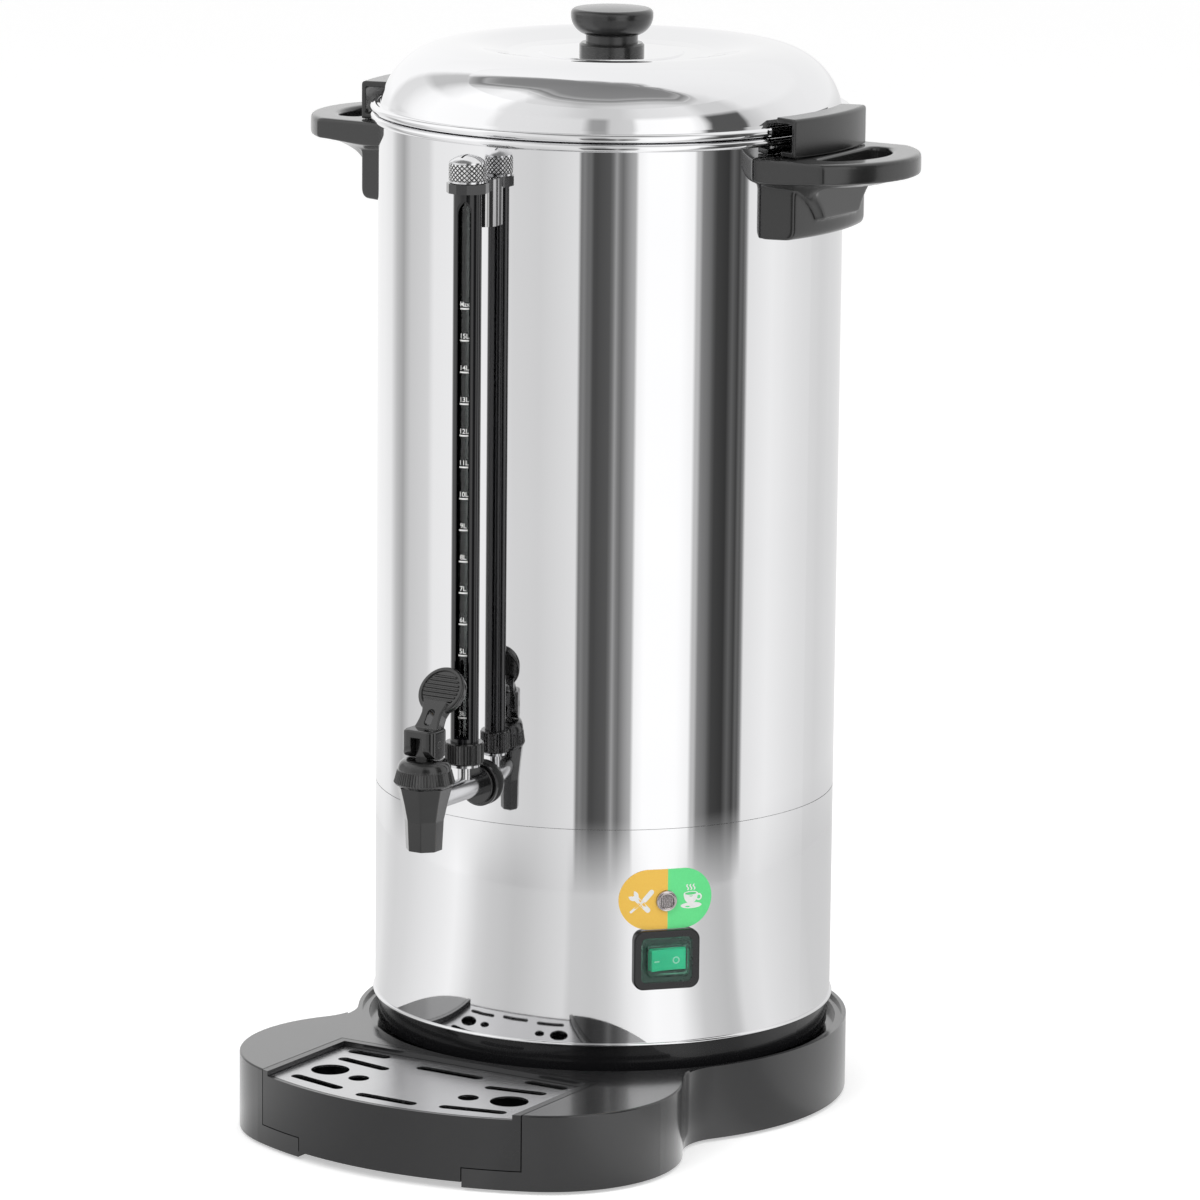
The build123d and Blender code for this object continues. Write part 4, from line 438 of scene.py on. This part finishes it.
def make_rims():
    """Rims of tank and lid, finer than the frame's facets. The lid's stops at its two notches."""
    between_notches = ((17.9, 162.1), (197.9, 342.1))
    round_bead("tank_rim", "tank_steel", "urn", 135.9 * MM, 574.7 * MM, RIM_BEAD_R)
    round_bead("lid_rim", "lid_steel", "lid", 136.1 * MM, 580.1 * MM, RIM_BEAD_R, between_notches)
    round_bead("band_rim", "tank_steel", "urn", 134.2 * MM, 58.2 * MM, BAND_BEAD_R, sides=12)


KNURL_LOW = 555.3 * MM
KNURL_HIGH = 565.0 * MM
KNURL_R = 10.42
KNURL_DEPTH = 0.36
KNURL_CORE_R = 10.0 * MM
KNURL_DIAMONDS = 24
KNURL_PITCH = 2.6 * MM


def knurled_metal():
    """Bright metal whose grooves, where make_knurl cuts them, are painted near black as painted shade."""
    s = Shader("knurled_metal", Metallic=1.0)
    x, y, z = s.xyz()
    angle = s.math("ARCTAN2", s.math("SUBTRACT", y, GAUGE_Y), x)
    u = s.math("ADD", s.math("MULTIPLY", angle, KNURL_DIAMONDS / math.tau), float(KNURL_DIAMONDS))
    v = s.math("DIVIDE", s.math("SUBTRACT", z, KNURL_LOW), KNURL_PITCH)
    cuts = [s.math("ABSOLUTE", s.math("SUBTRACT", s.math("FRACT", s.math(way, u, v)), 0.5))
            for way in ("ADD", "SUBTRACT")]
    ridge = s.math("MULTIPLY", s.math("MINIMUM", cuts[0], cuts[1]), 2.0)
    # Base colour follows the knurl pattern: near black in the grooves as painted shade, and bright on the ridges
    s.set("Base Color", s.colours(ridge, [(0.12, (0.02, 0.02, 0.02)), (0.40, (0.50, 0.50, 0.50)),
                                          (0.62, (0.95, 0.95, 0.95))]))
    s.set("Roughness", s.span(s.noise(s.coord, 800.0), 0.16, 0.26))
    return s.mat


def make_knurl():
    """Diamond knurl round the gauge's cap."""
    bm = bmesh.new()
    around, rows = 288, 40
    turns = [math.tau * i / around for i in range(around)]
    loops = []
    for j in range(rows + 1):
        z = KNURL_LOW + (KNURL_HIGH - KNURL_LOW) * j / rows
        edge = min(j, rows - j) / rows
        v = (z - KNURL_LOW) / KNURL_PITCH
        loop = []
        for a in turns:
            u = KNURL_DIAMONDS * a / math.tau
            ridge = min(abs((u + v) % 1.0 - 0.5), abs((u - v) % 1.0 - 0.5)) * 2.0
            r = (KNURL_R + KNURL_DEPTH * min(1.0, ridge * 1.6) * min(1.0, edge * 14)) * MM
            loop.append(bm.verts.new((r * math.cos(a), GAUGE_Y + r * math.sin(a), z)))
        loops.append(loop)
    core = []
    for z in (KNURL_LOW, KNURL_HIGH):
        core.append([bm.verts.new((KNURL_CORE_R * math.cos(a), GAUGE_Y + KNURL_CORE_R * math.sin(a), z))
                     for a in turns])
    shells = [core[0]] + loops + [core[1], core[0]]
    for one, two in zip(shells, shells[1:]):
        for i in range(around):
            j = (i + 1) % around
            bm.faces.new((one[i], one[j], two[j], two[i]))
    make_piece("cap_knurl", bm, "gauge_chrome", "gauge_cap", knurled_metal(), smooth=False)


# Flat outlines in millimetres, printed on a surface

def bar(x0, y0, x1, y1, width, round_ends=False):
    """Outline of a straight stroke."""
    length = math.hypot(x1 - x0, y1 - y0)
    ux, uy = (x1 - x0) / length, (y1 - y0) / length
    h = width / 2
    if not round_ends:
        return [(x0 - uy * h, y0 + ux * h), (x0 + uy * h, y0 - ux * h), (x1 + uy * h, y1 - ux * h),
                (x1 - uy * h, y1 + ux * h)]
    turn = math.atan2(uy, ux)
    outline = []
    for x, y, first in ((x0, y0, 0.5), (x1, y1, -0.5)):
        for k in range(9):
            a = turn + math.pi * (first + k / 8)
            outline.append((x + h * math.cos(a), y + h * math.sin(a)))
    return outline


def oval(x, y, rx, ry, start=0.0, sweep=360.0, steps=28):
    """Filled ellipse or a part of one."""
    return [(x + rx * math.cos(math.radians(start + sweep * k / steps)),
             y + ry * math.sin(math.radians(start + sweep * k / steps))) for k in range(steps)]


def hoop(x, y, rx, ry, width, start=0.0, sweep=360.0, steps=28):
    """Strokes along an ellipse."""
    parts = []
    for k in range(steps):
        a = math.radians(start + sweep * k / steps)
        b = math.radians(start + sweep * (k + 1) / steps)
        parts.append([(x + (rx + s) * math.cos(t), y + (ry + s) * math.sin(t))
                      for t, s in ((a, -width / 2), (a, width / 2), (b, width / 2), (b, -width / 2))])
    return parts


def wave(x, y0, y1, width, swing, steps=12):
    """Upright wavy stroke, as of steam."""
    parts = []
    for k in range(steps):
        ys = (y0 + (y1 - y0) * k / steps, y0 + (y1 - y0) * (k + 1) / steps)
        xs = [x + swing * math.sin(math.tau * (t - y0) / (y1 - y0)) for t in ys]
        parts.append([(xs[0] - width / 2, ys[0]), (xs[0] + width / 2, ys[0]), (xs[1] + width / 2, ys[1]),
                      (xs[1] - width / 2, ys[1])])
    return parts


def printed(name, outlines, place, slot, body, material):
    """Thin closed films: place(x, y, lift) gives the point on the surface, lift above it."""
    bm = bmesh.new()
    for count, outline in enumerate(outlines):
        # Each outline stands a trace higher than the last, so that overlapping films don't share a face
        step = 0.0003 * MM * count
        low = [bm.verts.new(place(x, y, step)) for x, y in outline]
        high = [bm.verts.new(place(x, y, INK + step)) for x, y in outline]
        bm.faces.new(low)
        bm.faces.new(high)
        for i in range(len(outline)):
            j = (i + 1) % len(outline)
            bm.faces.new((low[i], low[j], high[j], high[i]))
    make_piece(name, bm, slot, body, material, smooth=False)


def on_band(radius, height):
    """Places outlines on the lower band, at the controls."""
    def place(x, y, lift):
        r = radius + lift
        turn = CONTROL + x * MM / radius
        return (r * math.sin(turn), -r * math.cos(turn), height + y * MM)
    return place


WHITE_INK = ink("white_ink", (0.97, 0.97, 0.95))


def make_pictograms():
    """Crossed wrench and screwdriver on the left, a steaming cup on the right."""
    at = on_band(PLATE_R, STATUS_Z)
    tools = [bar(-8.8, 4.5, -12.7, 0.0, 2.9, True), bar(-12.7, 0.0, -20.6, -6.9, 1.4, True)]
    tools += [bar(-18.2, 1.5, -10.9, -6.0, 3.0, True)]
    tools += hoop(-19.2, 2.5, 1.8, 1.8, 2.2, 185, 260, 20)
    printed("tools_print", tools, at, "plate_print", "urn", WHITE_INK)
    x = 14.65
    cup = [oval(x, 2.4, 4.35, 6.0, 180, 180, 28) + [(x + 4.35, 2.4)], oval(x + 0.3, -4.55, 6.45, 1.75)]
    cup += [oval(x, 2.4, 4.35, 1.35)]
    cup += hoop(x + 4.9, 0.1, 1.6, 1.6, 0.9)
    for dx in (-2.0, 0.0, 2.0):
        cup += wave(x + dx, 4.5, 7.9, 0.8, 0.5)
    printed("cup_print", cup, at, "plate_print", "urn", WHITE_INK)
    coffee = [oval(x, 2.45, 3.5, 0.8)]
    printed("coffee_print", coffee, on_band(PLATE_R + 0.05 * MM, STATUS_Z), "plate_print", "urn",
            ink("green_ink", (0.13, 0.78, 0.26)))


def make_rocker_marks():
    """Dash and ring on the rocker's face, laid on its surface."""
    rocker = NODES["rocker_switch"]
    out = Vector((math.sin(CONTROL), -math.cos(CONTROL), 0.0))
    side = Vector((math.cos(CONTROL), math.sin(CONTROL), 0.0))

    def place(x, y, lift):
        start = out * 1.5 * TANK_R + side * x * MM + Vector((0, 0, SWITCH_Z + y * MM))
        _, point, _, _ = rocker.ray_cast(start, -out)
        return point + out * (INK + lift)

    marks = [bar(-7.9, -0.5, -4.7, -0.5, 0.8)] + hoop(5.6, -0.5, 1.75, 1.75, 0.75)
    printed("rocker_marks", marks, place, "rocker_plastic", "rocker", WHITE_INK)


def make_gauge_marks():
    """Litre ticks and their labels on the glass, facing the window's side."""
    def place(x, y, lift):
        turn = WINDOW + x * MM / GLASS_R
        reach = GLASS_R + lift
        return (reach * math.sin(turn), GAUGE_Y - reach * math.cos(turn), y)

    ticks = []
    for litre in LITRES:
        z = LITRE_5_Z + LITRE_PITCH * (litre - 5)
        # Eight short pieces each, so that the tick follows the glass
        for k in range(8):
            x = -2.6 + 0.65 * k
            ticks.append([(x, z - 0.45 * MM), (x + 0.65, z - 0.45 * MM), (x + 0.65, z + 0.45 * MM),
                          (x, z + 0.45 * MM)])
    printed("gauge_ticks", ticks, place, "gauge_glass", "urn", WHITE_INK)
    for litre in LITRES:
        words = "Max" if litre == LITRES[-1] else str(litre) + "L"
        curve = bpy.data.curves.new("label_" + str(litre), "FONT")
        curve.body = words
        curve.size = LABEL_SIZE
        curve.space_character = 0.98
        curve.align_x = "CENTER"
        curve.extrude = 0.02 * MM
        curve.offset = 0.03 * MM
        curve.resolution_u = 3
        flat = bpy.data.objects.new("flat", curve)
        bpy.context.collection.objects.link(flat)
        bpy.context.view_layer.update()
        mesh = bpy.data.meshes.new_from_object(flat.evaluated_get(bpy.context.evaluated_depsgraph_get()))
        bpy.data.objects.remove(flat)
        widest = max(abs(v.co.x) for v in mesh.vertices)
        squeeze = min(1.0, LABEL_REACH / widest)
        base = LITRE_5_Z + LITRE_PITCH * (litre - 5) + 1.25 * MM
        for v in mesh.vertices:
            v.co = place(v.co.x * squeeze / MM, base + v.co.y, 0.02 * MM + v.co.z)
        bm = bmesh.new()
        bm.from_mesh(mesh)
        bmesh.ops.remove_doubles(bm, verts=bm.verts, dist=1e-7)
        make_piece("label_" + words, bm, "gauge_glass", "urn", WHITE_INK, smooth=False)


def soften(node, voxel, rounds):
    """Moulded edges: the node's own shape with all its edges slightly rounded."""
    obj = NODES[node]
    remesh = obj.modifiers.new("moulded", "REMESH")
    remesh.mode = "VOXEL"
    remesh.voxel_size = voxel * MM
    remesh.use_smooth_shade = True
    smooth = obj.modifiers.new("eased", "SMOOTH")
    smooth.factor = 0.5
    smooth.iterations = rounds


make_rims()
make_knurl()
make_pictograms()
make_rocker_marks()
make_gauge_marks()
for node in ("handle_right", "handle_left"):
    soften(node, 0.7, 30)
for node in ("lid_catch_right", "lid_catch_left"):
    soften(node, 0.45, 8)
for node in ("tap_lever", "spout_body"):
    soften(node, 0.26, 3)
soften("rocker_switch", 0.2, 30)


# ---- Camera, light and floor ----------------------------------------------------------------

def place_camera():
    """Camera as solved from the photograph's frame."""
    a, e, roll = math.radians(VIEW_AZ), math.radians(VIEW_EL), math.radians(VIEW_ROLL)
    back = Vector((math.sin(a) * math.cos(e), -math.cos(a) * math.cos(e), math.sin(e)))
    right = Vector((math.cos(a), math.sin(a), 0.0))
    up = back.cross(right)
    target = Vector((0, 0, AIM_Z)) + right * AIM_SIDE
    tilted_right = right * math.cos(roll) + up * math.sin(roll)
    tilted_up = up * math.cos(roll) - right * math.sin(roll)
    camera = bpy.data.objects.new("camera", bpy.data.cameras.new("camera"))
    camera.data.sensor_width = SENSOR
    camera.data.lens = FOCAL_PX / FRAME_PX * SENSOR
    camera.data.clip_end = 60.0
    turn = Matrix((tilted_right, tilted_up, back)).transposed().to_4x4()
    camera.matrix_world = Matrix.Translation(target + back * EYE_DISTANCE) @ turn
    bpy.context.collection.objects.link(camera)
    bpy.context.scene.camera = camera


def make_world():
    """White behind everything that is seen or mirrored, and a plain even fill for the rest."""
    world = bpy.data.worlds.new("studio")
    world.use_nodes = True
    tree = world.node_tree
    fill = tree.nodes["Background"]
    fill.inputs["Color"].default_value = (1.0, 1.0, 1.0, 1.0)
    fill.inputs["Strength"].default_value = FILL
    white = tree.nodes.new("ShaderNodeBackground")
    white.inputs["Color"].default_value = (1.0, 1.0, 1.0, 1.0)
    path = tree.nodes.new("ShaderNodeLightPath")
    seen = path.outputs["Is Camera Ray"]
    for ray in ("Is Glossy Ray", "Is Transmission Ray"):
        either = tree.nodes.new("ShaderNodeMath")
        either.operation = "MAXIMUM"
        tree.links.new(seen, either.inputs[0])
        tree.links.new(path.outputs[ray], either.inputs[1])
        seen = either.outputs[0]
    mix = tree.nodes.new("ShaderNodeMixShader")
    tree.links.new(seen, mix.inputs[0])
    tree.links.new(fill.outputs[0], mix.inputs[1])
    tree.links.new(white.outputs[0], mix.inputs[2])
    tree.links.new(mix.outputs[0], tree.nodes["World Output"].inputs["Surface"])
    bpy.context.scene.world = world


# The studio, seen only in the steel's mirror images. Each row is an angle in degrees from the viewing
# direction, positive to the right, and a grey level there. The levels were read from the photograph,
# which is a fault. The floor's are what the lower band mirrors, the low cards' what
# the tank mirrors, and the high and top ones' what the lid and the handles mirror.
FLOOR_TONES = ((-180, 0.85), (-136, 0.89), (-126, 0.79), (-119, 0.75), (-106, 0.79), (-96, 0.87), (-80, 1.0),
               (-72, 1.08), (-66, 0.95), (-59, 0.73), (-53, 0.63), (-41, 0.54), (-36, 0.56), (-25, 0.68),
               (-17, 0.76), (-14, 0.62), (-4, 0.60), (1, 0.64), (6, 0.76), (12, 0.99), (22, 1.17), (33, 1.12),
               (38, 0.89), (44, 0.62), (56, 0.52), (60, 0.56), (64, 0.79), (76, 0.89), (92, 0.79), (112, 0.67),
               (150, 0.68), (180, 0.85))
LOW_CARDS = ((-180, 1.0), (-138, 0.96), (-128, 0.90), (-121, 0.58), (-114, 0.42), (-107, 0.66), (-93, 0.74),
             (-89, 0.92), (-60, 0.98), (-44, 0.74), (-31, 0.71), (-21, 0.78), (-13.7, 0.83), (-12.6, 0.16),
             (-11.4, 0.25), (-10.6, 0.17), (-8, 0.16), (-7, 0.07), (-5.6, 0.07), (-5, 0.18), (-4.4, 0.08), (0, 0.10),
             (0.4, 0.19), (1.5, 0.17), (2, 0.31), (3.9, 0.42), (4.4, 0.10), (7, 0.24), (9, 0.36), (11.7, 0.48),
             (12.4, 1.03), (17, 1.16), (32, 1.16), (38.1, 1.04), (38.7, 0.60), (40.9, 0.54), (41.5, 0.25),
             (42.2, 0.25), (42.7, 0.62), (43.3, 0.22), (46, 0.18), (48.6, 0.06), (55, 0.04), (57.5, 0.13),
             (61, 0.04), (62.1, 0.16), (64.5, 0.06), (65.2, 0.86), (80, 0.97), (97, 0.86), (120, 0.73),
             (160, 0.82), (180, 1.0))
HIGH_CARDS = ((-180, 0.97), (-162, 1.05), (-138, 1.08), (-132, 0.82), (-122, 0.84), (-108, 1.08), (-96, 1.16),
              (-62, 1.12), (-55, 0.88), (-30, 0.84), (-14, 0.80), (-9, 0.38), (-3, 0.36), (0, 0.66), (10, 0.72),
              (13, 1.14), (38, 1.18), (44, 0.95), (48, 0.10), (66, 0.10), (69, 0.62), (82, 0.84), (100, 0.92),
              (125, 0.95), (180, 0.97))
TOP_CARDS = ((-180, 0.98), (-150, 1.06), (-138, 1.08), (-130, 0.62), (-116, 0.60), (-104, 0.95), (-88, 1.18),
             (-64, 1.16), (-57, 0.88), (-30, 0.82), (-18, 0.72), (-8, 0.66), (4, 0.68), (16, 0.85), (42, 0.90),
             (50, 0.70), (66, 0.70), (76, 0.92), (110, 0.98), (180, 0.98))
# Overhead: how far the dark panel reaches on each side, and how bright the ceiling is beyond it
PANEL_REACH = ((-180, 0.18), (-150, 0.30), (-140, 0.62), (-132, 1.05), (-116, 1.05), (-104, 0.78), (-92, 0.60),
               (-80, 0.54), (-66, 0.56), (-52, 0.62), (-40, 0.66), (-20, 0.68), (0, 0.68), (12, 0.65), (26, 0.64),
               (38, 0.68), (52, 0.78), (64, 0.66), (76, 0.36), (100, 0.18), (180, 0.18))
CEILING_TONES = ((-180, 1.0), (-142, 1.06), (-134, 0.84), (-116, 0.80), (-98, 0.95), (-84, 1.08), (-66, 1.04),
                 (-56, 0.80), (-36, 0.74), (-20, 0.60), (0, 0.70), (24, 0.80), (44, 0.78), (62, 0.76), (80, 0.94),
                 (120, 0.98), (180, 1.0))
FLOOR_R = 14.0
FLOOR_LIFT = 0.47
MIRROR_SHARE = 0.8
FOOT_FADE = 0.05
CARD_R = 0.72
CARD_TOP = 1.35
CEILING_Z = 2.6
CEILING_R = 1.95
LID_Z = 0.6
HIGH_FROM, HIGH_FADE = 0.56, 0.1
TOP_FROM, TOP_FADE = 0.96, 0.08
PANEL_EDGE = (0.78, 1.12)


def mirrored_only(name, bm):
    """Mesh that only reflections see."""
    mesh = bpy.data.meshes.new(name)
    bm.to_mesh(mesh)
    bm.free()
    obj = bpy.data.objects.new(name, mesh)
    bpy.context.collection.objects.link(obj)
    for ray in ("camera", "diffuse", "transmission", "volume_scatter", "shadow"):
        setattr(obj, "visible_" + ray, False)
    return obj


def glow(shader, level):
    """Material that gives off light at this level."""
    lamp = shader.node("ShaderNodeEmission")
    shader.link(level, lamp.inputs["Color"])
    shader.link(lamp.outputs[0], shader.tree.nodes["Material Output"].inputs["Surface"])
    return shader.mat


def make_cards():
    """Drum round the object that carries the cards' light; near the floor it shows the floor's."""
    bm = bmesh.new()
    steps = 128
    turns = [math.tau * i / steps for i in range(steps)]
    foot, top = ([bm.verts.new((CARD_R * math.sin(t), CARD_R * math.cos(t), z)) for t in turns]
                 for z in (0.001, CARD_TOP))
    for i in range(steps):
        j = (i + 1) % steps
        bm.faces.new((foot[i], foot[j], top[j], top[i]))
    drum = mirrored_only("studio_cards", bm)
    s = Shader("card_light")
    height = s.xyz()[2]
    level = s.mix(s.step(height, 0.0, FOOT_FADE), s.tones(FLOOR_TONES), s.tones(LOW_CARDS))
    level = s.mix(s.step(height, HIGH_FROM, HIGH_FROM + HIGH_FADE), level, s.tones(HIGH_CARDS))
    level = s.mix(s.step(height, TOP_FROM, TOP_FROM + TOP_FADE), level, s.tones(TOP_CARDS))
    drum.data.materials.append(glow(s, level))


def make_ceiling():
    """Dark panel overhead below a pale ceiling."""
    bm = bmesh.new()
    bmesh.ops.create_circle(bm, cap_ends=True, segments=96, radius=CEILING_R,
                            matrix=Matrix.Translation((0, 0, CEILING_Z)))
    panel = mirrored_only("studio_ceiling", bm)
    s = Shader("ceiling_light")
    x, y, _ = s.xyz()
    squares = s.math("ADD", s.math("MULTIPLY", x, x), s.math("MULTIPLY", y, y))
    slope = s.math("DIVIDE", s.math("SQRT", squares), CEILING_Z - LID_Z)
    share = s.math("DIVIDE", slope, s.tones(PANEL_REACH))
    dark = s.colours(s.math("MULTIPLY", share, 0.5),
                     [(0.0, (0.22, 0.22, 0.22)), (0.30, (0.27, 0.27, 0.27)), (0.36, (0.44, 0.44, 0.44)),
                      (0.38, (0.26, 0.26, 0.26)), (0.44, (0.36, 0.36, 0.36)), (0.455, (0.62, 0.62, 0.62)),
                      (0.47, (0.34, 0.34, 0.34))])
    edge = s.step(share, PANEL_EDGE[0], PANEL_EDGE[1])
    panel.data.materials.append(glow(s, s.mix(edge, dark, s.tones(CEILING_TONES))))


def area_light(name, at, aim, size, power):
    """Soft rectangular lamp that points at aim."""
    lamp = bpy.data.lights.new(name, "AREA")
    lamp.shape = "RECTANGLE"
    lamp.size, lamp.size_y = size
    lamp.energy = power
    lamp.specular_factor = 0.35
    obj = bpy.data.objects.new(name, lamp)
    obj.location = at
    obj.rotation_euler = (Vector(aim) - Vector(at)).to_track_quat("-Z", "Y").to_euler()
    obj.visible_camera = False
    bpy.context.collection.objects.link(obj)


def around_view(angle, distance, height):
    """Point at an angle from the viewing direction, positive to the right."""
    a = math.radians(VIEW_AZ + angle)
    return (distance * math.sin(a), -distance * math.cos(a), height)


def make_floor():
    """Pale floor: white to the camera, matt to the lamps, and toned where steel mirrors it."""
    bm = bmesh.new()
    bmesh.ops.create_circle(bm, cap_ends=True, segments=96, radius=FLOOR_R)
    mesh = bpy.data.meshes.new("floor")
    bm.to_mesh(mesh)
    bm.free()
    floor = bpy.data.objects.new("floor", mesh)
    bpy.context.collection.objects.link(floor)
    s = Shader("floor_paint", Roughness=0.75, Specular_IOR_Level=0.1)
    cloud = s.noise(s.coord, 1.4, 2.0)
    s.set("Base Color", s.mix(cloud, (0.86, 0.86, 0.86), (0.88, 0.88, 0.88)))
    path = s.node("ShaderNodeLightPath")
    seen = s.node("ShaderNodeEmission")
    seen.inputs["Color"].default_value = (1, 1, 1, 1)
    s.link(s.math("MULTIPLY", path.outputs["Is Camera Ray"], FLOOR_LIFT), seen.inputs["Strength"])
    add = s.node("ShaderNodeAddShader")
    s.link(s.bsdf.outputs[0], add.inputs[0])
    s.link(seen.outputs[0], add.inputs[1])
    mirrored = s.node("ShaderNodeEmission")
    s.link(s.tones(FLOOR_TONES), mirrored.inputs["Color"])
    both = s.node("ShaderNodeMixShader")
    s.link(s.math("MULTIPLY", path.outputs["Is Glossy Ray"], MIRROR_SHARE), both.inputs[0])
    s.link(add.outputs[0], both.inputs[1])
    s.link(mirrored.outputs[0], both.inputs[2])
    s.link(both.outputs[0], s.tree.nodes["Material Output"].inputs["Surface"])
    mesh.materials.append(s.mat)


place_camera()
make_world()
make_cards()
make_ceiling()
make_floor()
area_light("key", around_view(-38, 2.6, 2.4), (0, 0, 0.25), (1.6, 1.6), 26.0)
area_light("fill", around_view(55, 2.8, 1.7), (0, 0, 0.25), (1.8, 1.8), 16.0)
area_light("top", around_view(10, 0.4, 3.2), (0, 0, 0.3), (2.2, 2.2), 18.0)

bpy.context.scene.view_settings.view_transform = "Standard"
